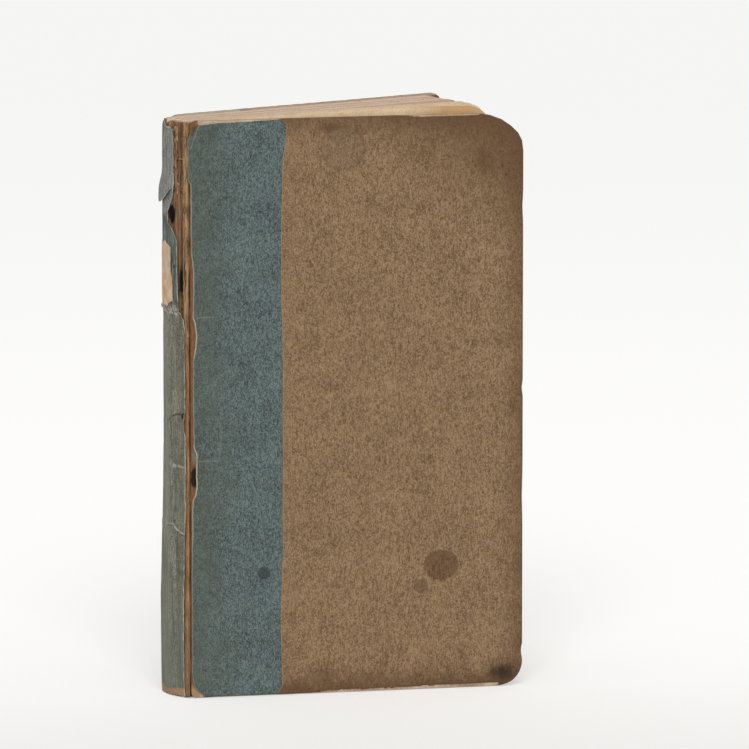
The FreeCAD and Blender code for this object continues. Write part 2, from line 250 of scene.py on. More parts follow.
lightSettings = {
    "sky": 0.5,
    "skyColour": (1.0, 0.995, 0.985),
    "seen": (0.937, 0.937, 0.932),
    "sun": 1.48,
    "sunAngle": 32.0,
    "sunFrom": (-0.58, -0.85, 0.95),
    "floorSize": 14.0,
    "floorColour": (0.71, 0.707, 0.699),
    # painted shade: the floor colour darkens far off and close in front, for the fall-off of the light
    "floorFarShade": (0.657, 0.659, 0.653),
    "floorNearShade": (0.63, 0.625, 0.615),
    "floorLift": 0.575,
    "floorAway": (0.57, 0.82, 0),  # the way that the floor recedes
    "farRun": (0.1, 1.5),  # metres along it, from the floor's colour to the far one
    "nearRun": (0.05, -0.16),  # and to the near one
}


def makeLights(s):
    world = bpy.data.worlds.new("studio")
    bpy.context.scene.world = world
    world.use_nodes = True
    g = Graph(world.node_tree)
    g.nodes.clear()
    path, mix = g.put("ShaderNodeLightPath"), g.put("ShaderNodeMixShader")
    light, seen = g.put("ShaderNodeBackground"), g.put("ShaderNodeBackground")
    g.feed(light.inputs["Color"], (*s["skyColour"], 1))
    g.feed(light.inputs["Strength"], s["sky"])
    g.feed(seen.inputs["Color"], (*s["seen"], 1))
    g.feed(mix.inputs[0], path.outputs["Is Camera Ray"])
    g.feed(mix.inputs[1], light.outputs[0])
    g.feed(mix.inputs[2], seen.outputs[0])
    g.feed(g.put("ShaderNodeOutputWorld").inputs[0], mix.outputs[0])
    data = bpy.data.lights.new("softSun", "SUN")
    data.energy, data.angle = s["sun"], math.radians(s["sunAngle"])
    sun = bpy.data.objects.new("softSun", data)
    bpy.context.scene.collection.objects.link(sun)
    sun.rotation_mode = "QUATERNION"
    sun.rotation_quaternion = Vector(s["sunFrom"]).to_track_quat("Z", "Y")


def makeFloor(s):
    bm = bmesh.new()
    bmesh.ops.create_grid(bm, x_segments=1, y_segments=1, size=s["floorSize"] / 2)
    mesh = bpy.data.meshes.new("floor")
    bm.to_mesh(mesh)
    bm.free()
    floor = bpy.data.objects.new("floor", mesh)
    bpy.context.scene.collection.objects.link(floor)
    material = bpy.data.materials.new("studioFloor")
    material.use_nodes = True
    g = Graph(material.node_tree)
    shader = g.nodes["Principled BSDF"]
    shader.inputs["Roughness"].default_value = 0.9
    shader.inputs["Specular IOR Level"].default_value = 0.1
    depth = g.put("ShaderNodeVectorMath", operation="DOT_PRODUCT")
    g.feed(depth.inputs[0], g.put("ShaderNodeTexCoord").outputs["Object"])
    g.feed(depth.inputs[1], s["floorAway"])
    away = depth.outputs["Value"]
    # painted shade: darker far off and close in front, for the fall-off of the light
    colour = g.mix(g.ramp(away, *s["farRun"]), (*s["floorColour"], 1), (*s["floorFarShade"], 1))
    colour = g.mix(g.ramp(away, *s["nearRun"]), colour, (*s["floorNearShade"], 1))
    g.feed(shader.inputs["Base Color"], colour)
    # the camera sees the floor a little lighter than it lights the book
    lift, add = g.put("ShaderNodeEmission"), g.put("ShaderNodeAddShader")
    g.feed(lift.inputs["Color"], colour)
    g.feed(lift.inputs["Strength"], g.times(g.put("ShaderNodeLightPath").outputs["Is Camera Ray"], s["floorLift"]))
    g.feed(add.inputs[0], shader.outputs[0])
    g.feed(add.inputs[1], lift.outputs[0])
    g.feed(g.nodes["Material Output"].inputs["Surface"], add.outputs[0])
    floor.data.materials.append(material)


makeCamera(cameraSettings)
makeLights(lightSettings)
makeFloor(lightSettings)
bpy.context.scene.view_settings.view_transform = "Standard"
print("camera, floor and light set")


# Shader groups. Every piece carries "lay", its place in millimetres as if it lay flat,
# and "torn", how far each point is from a torn edge.

def newGroup(name, inputs, outputs):  # every group takes the place on the sheet, then numbers
    group = bpy.data.node_groups.new(name, "ShaderNodeTree")
    group.interface.new_socket(name="Lay", in_out="INPUT", socket_type="NodeSocketVector")
    for key, value in inputs.items():
        socket = group.interface.new_socket(name=key, in_out="INPUT", socket_type="NodeSocketFloat")
        socket.default_value = value
    for key in outputs:
        group.interface.new_socket(name=key, in_out="OUTPUT", socket_type="NodeSocketFloat")
    g = Graph(group)
    return group, g, g.put("NodeGroupInput").outputs, g.put("NodeGroupOutput").inputs


def makeFibreGroup():
    # laid fibres, broad mottle and dark specks of an old hand-made paper
    group, g, given, out = newGroup(
        "paperFibre", {"Streak": 1.0, "Speck": 0.5}, ("Tone", "Specks", "Height"),
    )
    lay = given["Lay"]
    broad = g.noise(lay, 0.09, 4.0, 0.6)
    streak = g.noise(lay, 1.0, 3.0, 0.6, (1.7, 1.7, 0.5))
    grain = g.noise(lay, 2.9, 3.0, 0.85, (1.0, 1.0, 0.65))
    fleck = g.noise(lay, 1.25, 2.0, 0.7, (1.0, 1.0, 0.75))
    value = g.sum("MULTIPLY_ADD", g.centred(streak, given["Streak"]), 1.3, 0.5)
    value = g.stray(value, grain, 3.9)
    value = g.sum("ADD", value, g.centred(broad, 0.6), clamp=True)
    specks = g.times(g.ramp(fleck, 0.34, 0.27), given["Speck"])
    height = g.sum("MULTIPLY_ADD", grain, 0.8, g.times(streak, 0.4))
    g.feed(out["Tone"], value)
    g.feed(out["Specks"], specks)
    g.feed(out["Height"], height)
    return group


def makeSpotGroup():
    # one soft-edged spot, a little uneven round its rim, used for stains and also for spots of painted shadow in the
    # gaps under the torn spine paper
    group, g, given, out = newGroup(
        "stain",
        {"X": 0.0, "Z": 0.0, "Radius": 2.0, "Squash": 1.0, "Blur": 0.2, "Uneven": 0.3},
        ("Mask", "Rim"),
    )
    x, _, z = g.split(given["Lay"])
    dx = g.sum("DIVIDE", g.minus(x, given["X"]), given["Radius"])
    dz = g.sum("DIVIDE", g.minus(z, given["Z"]), g.times(given["Radius"], given["Squash"]))
    reach = g.sum("SQRT", g.plus(g.times(dx, dx), g.times(dz, dz)))
    wander = g.centred(g.noise(given["Lay"], 0.55, 3.0, 0.6), given["Uneven"])
    reach = g.plus(reach, wander)
    edge = g.sum("DIVIDE", g.minus(1.0, reach), given["Blur"], clamp=True)
    g.feed(out["Mask"], edge)
    g.feed(out["Rim"], g.times(edge, g.minus(1.0, g.ramp(reach, 0.95, 0.78))))
    return group


def makeLineGroup():
    # a crease, a scratch or a line of painted shade under a torn edge, between two points
    group, g, given, out = newGroup(
        "crease",
        {"From X": 0.0, "From Z": 0.0, "To X": 0.0, "To Z": 0.0, "Width": 0.2, "Wander": 0.5},
        ("Mask",),
    )
    x, _, z = g.split(given["Lay"])
    drift = g.centred(g.noise(given["Lay"], 0.5, 3.0, 0.6), given["Wander"])
    px = g.plus(g.minus(x, given["From X"]), drift)
    pz = g.plus(g.minus(z, given["From Z"]), drift)
    ax, az = g.minus(given["To X"], given["From X"]), g.minus(given["To Z"], given["From Z"])
    length = g.plus(g.times(ax, ax), g.times(az, az))
    share = g.sum("DIVIDE", g.plus(g.times(px, ax), g.times(pz, az)), length, clamp=True)
    dx = g.minus(px, g.times(ax, share))
    dz = g.minus(pz, g.times(az, share))
    gap = g.sum("SQRT", g.plus(g.times(dx, dx), g.times(dz, dz)))
    mask = g.sum("SUBTRACT", 1.0, g.sum("DIVIDE", gap, given["Width"]), clamp=True)
    patchy = g.ramp(g.noise(given["Lay"], 0.9, 2.0), 0.35, 0.6)
    g.feed(out["Mask"], g.times(mask, g.sum("MULTIPLY_ADD", patchy, 0.7, 0.3)))
    return group


def makeTornGroup():
    # the pale fibres that show along a torn or worn edge
    group, g, given, out = newGroup(
        "tornEdge", {"Torn": 9.0, "Width": 0.35}, ("Mask",),
    )
    jitter = g.times(g.minus(g.noise(given["Lay"], 1.8, 3.0, 0.7), 0.45), 1.6)
    reach = g.plus(g.sum("DIVIDE", given["Torn"], given["Width"]), jitter)
    g.feed(out["Mask"], g.ramp(reach, 1.15, 0.7))
    return group


fibreGroup = makeFibreGroup()
spotGroup = makeSpotGroup()
lineGroup = makeLineGroup()
tornGroup = makeTornGroup()


def newMaterial(name):
    material = bpy.data.materials.new(name)
    material.use_nodes = True
    g = Graph(material.node_tree)
    shader = g.nodes["Principled BSDF"]
    shader.inputs["Roughness"].default_value = 0.9
    shader.inputs["Specular IOR Level"].default_value = 0.25
    return material, g, shader, g.attribute("lay", "Vector")


bumpDistance = 0.12 * mm


def painted(material, g, shader, colour, height, strength):  # the end of every material
    node = g.put("ShaderNodeBump")
    node.inputs["Strength"].default_value = strength
    node.inputs["Distance"].default_value = bumpDistance
    g.feed(node.inputs["Height"], height)
    g.feed(shader.inputs["Normal"], node.outputs[0])
    g.feed(shader.inputs["Base Color"], colour)
    return material


# soft spots of one colour: stains, and on the spine paper also black spots of painted shadow
def stains(g, lay, colour, marks, shade, uneven=0.35):
    for x, z, radius, squash, blur, amount in marks:
        spot = g.use(spotGroup, Lay=lay, X=x, Z=z, Radius=radius, Squash=squash, Blur=blur, Uneven=uneven)
        colour = g.mix(g.times(spot["Mask"], amount), colour, shade)
    return colour


# lines of one colour: creases and scratches, and on the spine paper also dark lines of painted shade under torn edges
def creases(g, lay, colour, lines, shade, amount=0.6):
    for x0, z0, x1, z1, width in lines:
        values = {"Lay": lay, "From X": x0, "From Z": z0, "To X": x1, "To Z": z1, "Width": width}
        mark = g.use(lineGroup, **values)
        colour = g.mix(g.times(mark["Mask"], amount), colour, shade)
    return colour


def fibres(g, lay, colour, width, amount, shade):  # pale fibres along a torn edge
    torn = g.use(tornGroup, Lay=lay, Torn=g.attribute("torn"), Width=width)
    return g.mix(g.times(torn["Mask"], amount), colour, shade)


brownFinish = {
    "dark": tone(103, 78, 53),
    "light": tone(175, 145, 110),
    "speck": tone(74, 52, 37),
    "pale": tone(178, 152, 124),
    "grimy": tone(88, 64, 46),
    "stain": tone(90, 62, 42),
    "greasy": tone(102, 74, 52),
    "raw": tone(190, 166, 138),
    "stains": [  # x, z, radius, squash, blur, amount
        (79.0, 39.1, 5.8, 0.86, 0.08, 0.6), (72.6, 32.6, 2.4, 1.0, 0.18, 0.45),
        (53.4, 41.3, 1.6, 1.0, 0.3, 0.3), (96.4, 41.6, 0.45, 1.0, 0.4, 0.7), (84.0, 27.6, 0.4, 1.0, 0.4, 0.6),
        (98.2, 163.6, 0.6, 1.0, 0.4, 0.8), (99.5, 160.8, 0.6, 1.0, 0.4, 0.8),
        (44.0, 177.0, 5.5, 0.45, 0.9, 0.6), (92.5, 165.0, 4.5, 1.2, 0.9, 0.45), (41.0, 7.0, 9.0, 0.4, 0.9, 0.35),
    ],
    "rings": [(47.9, 170.4, 7.4, 0.38), (46.4, 169.6, 1.25, 0.55), (48.6, 168.6, 0.8, 0.4)],
}


def brownPaper(name, front):
    s = brownFinish
    material, g, shader, lay = newMaterial(name)
    rim = g.attribute("rim")
    fibre = g.use(fibreGroup, Lay=lay, Streak=1.0, Speck=0.75)
    colour = g.mix(fibre["Tone"], s["dark"], s["light"])
    colour = g.mix(g.times(fibre["Specks"], 0.6), colour, s["speck"])
    colour = g.tint(colour, s["pale"], g.noise(lay, 1.7, 2.0, 0.6, (1.2, 1.0, 0.8)), 0.62, 0.74, 0.4)
    x, _, z = g.split(lay)
    cloud = g.noise(lay, 0.13, 4.0, 0.65)
    # handled edges: browner towards the fore-edge, the tail and the head corner
    edge = g.stray(rim, cloud, 14.0)
    colour = g.tint(colour, s["greasy"], edge, 10.0, -3.0, 0.65)
    corner = g.plus(g.times(x, 0.6), g.times(z, 0.8))
    corner = g.plus(corner, g.times(cloud, 22.0))
    colour = g.tint(colour, s["greasy"], corner, 176.0, 212.0, 0.75)
    low = g.plus(z, g.times(g.noise(lay, 0.22, 4.0, 0.7), 16.0))
    colour = g.tint(colour, s["grimy"], low, 15.0, 8.0, 0.5)
    colour = g.tint(colour, s["grimy"], g.plus(rim, g.times(cloud, 3.0)), 2.3, 1.1, 0.45)
    ruddy = g.ramp(g.noise(lay, 0.45, 4.0, 0.7), 0.5, 0.66)
    colour = g.mix(g.times(ruddy, g.ramp(low, 26.0, 10.0, 0.0, 0.5)), colour, tone(128, 86, 58))
    colour = stains(g, lay, colour, [(99.0, 4.0, 9.0, 0.75, 0.8, 0.75)], s["grimy"], 0.9)
    colour = stains(g, lay, colour, [(98.6, 4.6, 5.4, 0.5, 0.7, 0.8)], tone(52, 40, 31), 0.9)
    if front:
        colour = stains(g, lay, colour, s["stains"], s["stain"])
        for x0, z0, radius, amount in s["rings"]:
            ring = g.use(spotGroup, Lay=lay, X=x0, Z=z0, Radius=radius, Blur=0.1, Uneven=0.35)
            colour = g.mix(g.times(ring["Mask"], 0.25), colour, tone(124, 106, 84))
            colour = g.mix(g.times(ring["Rim"], amount), colour, s["grimy"])
    colour = fibres(g, lay, colour, 0.35, g.attribute("rub"), s["raw"])
    g.feed(shader.inputs["Roughness"], g.ramp(fibre["Tone"], 0.0, 1.0, 0.94, 0.84))
    return painted(material, g, shader, colour, fibre["Height"], 0.55)


blueFinish = {
    "dark": tone(54, 64, 61),
    "light": tone(124, 140, 138),
    "worn": tone(88, 92, 80),
    "foxed": tone(96, 88, 70),
    "speck": tone(40, 46, 44),
    "stain": tone(58, 64, 62),
    "raw": tone(196, 190, 170),
    "stains": [
        (22.9, 38.7, 2.2, 1.0, 0.2, 0.75), (11.8, 162.9, 0.8, 1.0, 0.5, 0.6), (27.6, 106.5, 0.7, 1.0, 0.5, 0.6),
        (5.5, 137.0, 0.7, 1.0, 0.5, 0.4), (21.0, 166.0, 0.6, 1.0, 0.5, 0.35),
    ],
    "creases": [  # from x, z to x, z, width
        (2.9, 179.0, 0.2, 171.4, 0.3), (0.8, 142.2, 4.6, 143.0, 0.25), (2.0, 119.0, 7.5, 119.2, 0.25),
        (2.4, 74.2, 9.0, 74.3, 0.3), (14.0, 21.0, 22.0, 21.6, 0.2), (7.0, 93.0, 8.2, 100.0, 0.16),
        (16.0, 128.0, 17.5, 139.0, 0.14),
    ],
}


def bluePaper(name, front):
    s = blueFinish
    material, g, shader, lay = newMaterial(name)
    rim = g.attribute("rim")
    fibre = g.use(fibreGroup, Lay=lay, Streak=0.75, Speck=0.6)
    colour = g.mix(fibre["Tone"], s["dark"], s["light"])
    x, _, z = g.split(lay)
    patch = g.noise(lay, 0.11, 5.0, 0.62)
    faded = g.stray(x, patch, 34.0)
    colour = g.tint(colour, s["worn"], faded, 17.0, 1.0, 0.5)
    colour = g.tint(colour, s["foxed"], g.noise(lay, 0.3, 4.0, 0.75), 0.56, 0.7, 0.45)
    colour = g.mix(g.times(fibre["Specks"], 0.6), colour, s["speck"])
    colour = g.tint(colour, s["stain"], g.plus(rim, g.times(patch, 3.0)), 2.6, 1.2, 0.4)
    if front:
        colour = stains(g, lay, colour, s["stains"], s["stain"])
        colour = stains(g, lay, colour, [(0.6, 178.6, 2.6, 1.3, 0.6, 0.8)], tone(98, 66, 44), 0.7)
        colour = creases(g, lay, colour, s["creases"], s["raw"], 0.3)
    colour = fibres(g, lay, colour, 0.4, g.attribute("rub"), s["raw"])
    g.feed(shader.inputs["Roughness"], g.ramp(fibre["Tone"], 0.0, 1.0, 0.93, 0.85))
    return painted(material, g, shader, colour, fibre["Height"], 0.6)


spineFinish = {
    "dark": tone(78, 79, 67),
    "light": tone(176, 174, 156),
    "speck": tone(54, 53, 43),
    "raw": tone(200, 194, 176),
    "black": tone(24, 22, 19),
    "red": tone(58, 36, 25),
    # the black spots at the front ends of the tear lines near z 51 and z 88 are painted shadow under the lifted torn
    # paper; the broad faint ones are stains
    "stains": [
        (5.7, 102.6, 0.7, 2.1, 0.3, 0.97), (-2.6, 134.5, 0.5, 1.6, 0.4, 0.9), (8.0, 95.0, 3.0, 4.0, 0.8, 0.25),
        (3.0, 40.0, 2.5, 5.0, 0.8, 0.2), (-6.4, 88.2, 0.8, 1.6, 0.5, 0.9), (-6.9, 51.2, 0.5, 1.2, 0.5, 0.8),
    ],
    "pale": [(-2.1, 72.4, 1.2, 0.8, 0.7, 0.6), (-2.6, 121.6, 1.4, 0.8, 0.5, 0.7), (4.0, 121.2, 1.8, 0.6, 0.5, 0.6)],
    "creases": [
        (-6.4, 72.3, -2.8, 72.6, 0.45), (2.4, 55.2, 1.6, 53.9, 0.35), (1.6, 53.9, -1.9, 54.1, 0.25),
        (-1.9, 54.1, -3.7, 52.4, 0.4),
        (-3.7, 52.4, -6.6, 51.4, 0.4),
    ],
    # dark red-brown lines along the torn edges: partly the brown edge of the torn paper, partly painted shade under the
    # lifted edge
    "tearEdgesAndShadows": [
        (-6.6, 88.9, -3.7, 88.7, 0.6), (-3.7, 88.7, -1.6, 87.9, 0.5), (-1.6, 87.9, 0.9, 86.0, 0.4),
        (1.4, 53.5, -1.9, 53.7, 0.2),
        (-3.7, 52.0, -6.6, 50.9, 0.35),
    ],
}


def spinePaperFinish():
    s = spineFinish
    material, g, shader, lay = newMaterial("spinePaper")
    x, _, z = g.split(lay)
    fibre = g.use(fibreGroup, Lay=lay, Streak=1.5, Speck=0.7)
    colour = g.mix(fibre["Tone"], s["dark"], s["light"])
    run = g.noise(lay, 0.5, 4.0, 0.6, (1.0, 1.0, 0.12))
    colour = g.tint(colour, tone(84, 92, 86), run, 0.42, 0.6, 0.55)
    band = g.noise(lay, 0.4, 4.0, 0.65, (1.2, 1.0, 0.1))
    colour = g.tint(colour, tone(158, 157, 144), band, 0.5, 0.68, 0.65)
    colour = g.tint(colour, tone(92, 84, 64), g.noise(lay, 0.3, 4.0, 0.7, (1.2, 1.0, 0.3)), 0.5, 0.66, 0.6)
    colour = g.tint(colour, tone(88, 86, 68), x, -1.5, -5.6, 0.35)
    # painted highlight: the paper is made lighter towards the rear side of the back
    pale = g.stray(x, run, 5.0)
    colour = g.tint(colour, tone(152, 151, 138), pale, -0.8, 1.4, 0.55)
    blueness = g.ramp(g.plus(z, g.times(run, 30.0)), 62.0, 30.0, 0.0, 0.35)
    colour = g.mix(blueness, colour, tone(108, 118, 110))
    height = g.stray(z, g.noise(lay, 0.6, 3.0), 3.0)
    streaks = g.ramp(g.noise(lay, 1.2, 3.0, 0.7, (1.6, 1.0, 0.1)), 0.4, 0.62)
    colour = g.tint(colour, g.mix(streaks, tone(62, 72, 68), tone(136, 148, 140)), height, 121.4, 122.4, 0.85)
    colour = g.tint(
        colour,
        g.mix(g.sum("MULTIPLY_ADD", streaks, 0.4, g.times(fibre["Tone"], 0.6)), tone(92, 98, 92), tone(182, 184, 176)),
        height, 149.0, 152.0, 0.9,
    )
    colour = g.mix(g.times(fibre["Specks"], 0.6), colour, s["speck"])
    # black spots, some of them painted shadow at the ends of the tear lines
    colour = stains(g, lay, colour, s["stains"], s["black"])
    colour = stains(g, lay, colour, s["pale"], tone(196, 200, 190), 1.4)
    colour = creases(g, lay, colour, s["creases"], s["raw"], 0.8)
    # partly torn brown edges, partly painted shade under the lifted edges
    colour = creases(g, lay, colour, s["tearEdgesAndShadows"], s["red"], 1.0)
    rub = g.attribute("rub")
    rub = g.stray(rub, g.noise(lay, 0.9, 4.0, 0.75), 2.6)
    rubbed = g.mix(g.noise(lay, 1.4, 3.0, 0.6), tone(122, 92, 64), tone(206, 176, 138))
    colour = g.mix(g.ramp(rub, -0.25, 0.45), colour, rubbed)
    patchy = g.ramp(g.noise(lay, 0.35, 3.0), 0.42, 0.6, 0.25, 0.85)
    colour = fibres(g, lay, colour, 0.3, patchy, s["raw"])
    return painted(material, g, shader, colour, g.plus(fibre["Height"], g.times(run, 1.4)), 0.8)


pageFinish = {
    "dark": tone(226, 198, 168),
    "light": tone(255, 248, 236),
    "toned": tone(222, 186, 150),
    "inner": tone(172, 126, 88),
    "glue": tone(70, 46, 29),
    "glueLight": tone(158, 116, 78),
    "black": tone(18, 13, 10),
    "fresh": tone(204, 172, 134),
    # painted shadow: black on the folds where they lie deep under the torn openings, the flap and the torn edges of the
    # spine paper and beside the lining
    "gapShadows": [
        (-0.9, 150.6, 1.7, 2.1, 0.3, 1.0), (-4.9, 130.0, 1.0, 8.0, 0.3, 0.97), (-4.9, 158.2, 0.8, 1.6, 0.4, 1.0),
        (-4.6, 170.0, 0.35, 26.0, 0.4, 0.6),
    ],
}


def pagePaper(name, edges):
    # one finish for the faces of the leaves and their folds, with painted shade on the faces, one for their cut and
    # torn edges
    s = pageFinish
    material, g, shader, lay = newMaterial(name)
    leaf = g.attribute("leaf")
    x, y, z = g.split(lay)
    fibre = g.use(fibreGroup, Lay=lay, Streak=0.6, Speck=0.3)
    grimy = g.noise(lay, 0.12, 4.0, 0.65)
    value = g.sum("MULTIPLY_ADD", fibre["Tone"], 0.4, g.times(leaf, 0.6), clamp=True)
    colour = g.mix(value, s["dark"], s["light"])
    colour = g.tint(colour, s["toned"], grimy, 0.45, 0.75, 0.45)
    # painted shade: the faces of the leaves are darkened a little everywhere and most towards the head, for the shade
    # in the narrow gaps between leaves
    if not edges:
        colour = g.mix(g.ramp(z, 168.0, 179.0, 0.1, 0.6), colour, s["inner"])
    # old glue on the folds
    spine = g.stray(x, g.noise(lay, 0.7, 4.0, 0.7), 2.6)
    glue = g.mix(g.ramp(g.noise(lay, 1.0, 4.0, 0.75, (2.4, 2.4, 0.14)), 0.32, 0.66), s["glue"], s["glueLight"])
    glue = g.tint(glue, s["fresh"], g.noise(lay, 0.6, 4.0, 0.7, (2.4, 2.4, 0.1)), 0.56, 0.64, 0.8)
    colour = g.tint(colour, glue, spine, 2.6, 0.6, 0.95)
    across = g.put("ShaderNodeCombineXYZ")
    g.feed(across.inputs[0], y)
    g.feed(across.inputs[2], z)
    near = g.ramp(x, 3.0, 2.0)
    # painted shadow in the deep gaps under the spine paper
    for y0, z0, radius, squash, blur, amount in s["gapShadows"]:
        spot = g.use(spotGroup, Lay=across.outputs[0], X=y0, Z=z0, Radius=radius, Squash=squash, Blur=blur, Uneven=0.5)
        colour = g.mix(g.times(g.times(spot["Mask"], near), amount), colour, s["black"])
    return painted(material, g, shader, colour, fibre["Height"], 0.35)


def endPaper(name, shadedAndStained):
    material, g, shader, lay = newMaterial(name)
    x, _, z = g.split(lay)
    fibre = g.use(fibreGroup, Lay=lay, Streak=0.5, Speck=0.35)
    colour = g.mix(fibre["Tone"], tone(216, 190, 152), tone(246, 228, 198))
    fox = g.noise(lay, 0.16, 5.0, 0.7)
    colour = g.tint(colour, tone(200, 160, 112), fox, 0.42, 0.8, 0.55)
    if shadedAndStained:
        # painted shade: the open leaf darkens towards the fore-edge, where it stands in shadow; the orange streaks on
        # it are stains
        wash = g.plus(x, g.times(fox, 26.0))
        colour = g.tint(colour, tone(198, 154, 106), wash, 86.0, 104.0, 0.8)
        streak = g.noise(lay, 0.3, 4.0, 0.7, (0.5, 1.0, 1.6))
        colour = g.tint(colour, tone(210, 160, 102), streak, 0.52, 0.68, 0.6)
    rim = g.attribute("rim")
    colour = g.tint(colour, tone(164, 122, 82), g.plus(rim, g.times(fox, 3.0)), 2.6, 1.0, 0.6)
    colour = g.mix(g.times(fibre["Specks"], 0.4), colour, tone(140, 100, 64))
    return painted(material, g, shader, colour, fibre["Height"], 0.3)


def jointPaper():
    material, g, shader, lay = newMaterial("jointPaper")
    fibre = g.use(fibreGroup, Lay=lay, Streak=1.4, Speck=0.8)
    x, _, z = g.split(lay)
    value = g.noise(lay, 0.9, 4.0, 0.78, (2.4, 1.6, 0.13))
    colour = g.mix(g.ramp(value, 0.38, 0.62), tone(76, 53, 35), tone(188, 150, 108))
    low = g.plus(z, g.times(g.noise(lay, 0.2, 2.0), 20.0))
    colour = g.tint(colour, tone(158, 116, 82), low, 128.0, 118.0, 0.35)
    colour = g.tint(colour, tone(220, 192, 152), g.noise(lay, 1.2, 3.0, 0.7, (2.4, 1.0, 0.2)), 0.58, 0.7, 0.7)
    # painted shadow: the end of the fold that runs into the gap at the board's edge is darkened
    dark = g.ramp(g.plus(x, g.times(g.noise(lay, 0.5, 3.0, 0.6, (1.0, 1.0, 0.3)), 0.9)), 3.35, 3.8)
    colour = g.mix(g.times(dark, 0.85), colour, tone(40, 27, 18))
    colour = g.mix(fibre["Specks"], colour, tone(58, 40, 26))
    return painted(material, g, shader, colour, value, 0.8)


def boardCore():
    # pasted layers of coarse grey paper, seen where the cover is worn through
    material, g, shader, lay = newMaterial("boardCore")
    x, _, z = g.split(lay)
    layers = g.noise(lay, 1.0, 3.0, 0.6, (0.12, 7.0, 0.12))
    grain = g.noise(lay, 1.5, 4.0, 0.7)
    value = g.plus(g.times(layers, 0.6), g.times(grain, 0.4))
    colour = g.mix(g.ramp(value, 0.3, 0.7), tone(158, 128, 100), tone(226, 202, 174))
    # the joint edge has the glue of the split joint on it
    inner = g.stray(x, grain, 1.2)
    glued = g.mix(g.noise(lay, 1.1, 3.0, 0.7, (1.5, 1.5, 0.5)), tone(84, 56, 37), tone(164, 118, 82))
    glued = g.tint(glued, tone(184, 150, 112), z, 5.0, 2.5, 0.85)
    colour = g.mix(g.ramp(inner, 3.2, 2.0), colour, glued)
    colour = stains(g, lay, colour, [(1.1, 69.2, 1.3, 3.0, 0.3, 0.95)], tone(26, 22, 18), 0.5)
    colour = stains(g, lay, colour, [(1.3, 76.0, 1.2, 2.4, 0.5, 0.8)], tone(120, 124, 112), 0.5)
    return painted(material, g, shader, colour, value, 0.7)


def labelPaper():
    material, g, shader, lay = newMaterial("labelPaper")
    x, _, z = g.split(lay)
    fibre = g.use(fibreGroup, Lay=lay, Streak=0.9, Speck=0.6)
    value = g.noise(lay, 0.5, 4.0, 0.75, (1.4, 1.0, 0.5))
    colour = g.mix(g.ramp(value, 0.36, 0.6), tone(216, 166, 128), tone(214, 196, 178))
    low = g.plus(z, g.times(value, 16.0))
    colour = g.tint(
        colour, g.mix(g.ramp(value, 0.42, 0.56), tone(206, 146, 94), tone(236, 202, 162)), low, 143.0, 134.0, 0.6,
    )
    colour = g.mix(g.times(fibre["Tone"], 0.35), colour, tone(236, 214, 190))
    colour = g.mix(g.times(fibre["Specks"], 0.8), colour, tone(104, 82, 66))
    side = g.plus(x, g.times(g.noise(lay, 0.6, 2.0), 0.8))
    colour = g.mix(g.times(g.ramp(side, -0.1, -0.7, 0.0, 0.85), g.ramp(low, 140.0, 143.0)), colour, tone(168, 190, 174))
    colour = fibres(g, lay, colour, 0.3, 0.4, tone(206, 190, 168))
    return painted(material, g, shader, colour, fibre["Height"], 0.6)


def hempCord(name, dark, light):
    material, g, shader, lay = newMaterial(name)
    strands = g.noise(lay, 1.0, 3.0, 0.6, (4.0, 4.0, 4.0))
    fuzz = g.noise(lay, 6.0, 2.0, 0.6)
    value = g.plus(g.times(strands, 0.6), g.times(fuzz, 0.4))
    return painted(material, g, shader, g.mix(g.ramp(value, 0.3, 0.7), dark, light), value, 0.8)


paints = {
    "brownFront": brownPaper("drabPaperFront", True),
    "brownRear": brownPaper("drabPaperRear", False),
    "blueFront": bluePaper("bluePaperFront", True),
    "blueRear": bluePaper("bluePaperRear", False),
    "spine": spinePaperFinish(),
    "pages": pagePaper("pageLeaves", False),
    "pageEdges": pagePaper("pageEdges", True),
    "flyleaf": endPaper("flyleafPaper", True),
    "pastedown": endPaper("pastedownPaper", False),
    "joint": jointPaper(),
    "core": boardCore(),
    "label": labelPaper(),
    "cord": hempCord("hempCord", tone(84, 58, 36), tone(156, 122, 84)),
    "thread": hempCord("linenThread", tone(128, 100, 68), tone(196, 168, 130)),
    "frayed": hempCord("frayedFibres", tone(150, 146, 134), tone(214, 210, 198)),
}
print("materials made:", len(paints))


# Making and finishing a piece

def newSheet(columns, rows):  # a grid whose corners run from (0, 0) to (1, 1)
    bm = bmesh.new()
    bmesh.ops.create_grid(bm, x_segments=columns, y_segments=rows, size=0.5)
    bmesh.ops.translate(bm, verts=bm.verts, vec=(0.5, 0.5, 0))
    return bm


def layers(bm):
    return (
        bm.verts.layers.float_vector.new("lay"), bm.verts.layers.float.new("torn"),
        bm.verts.layers.float.new("rim"), bm.verts.layers.float.new("rub"), bm.verts.layers.float.new("leaf"),
    )


def newWhole():
    bm = bmesh.new()
    layers(bm)
    return bm


def pour(bm, whole):  # adds one mesh to another
    mesh = bpy.data.meshes.new("part")
    bm.to_mesh(mesh)
    bm.free()
    whole.from_mesh(mesh)
    bpy.data.meshes.remove(mesh)


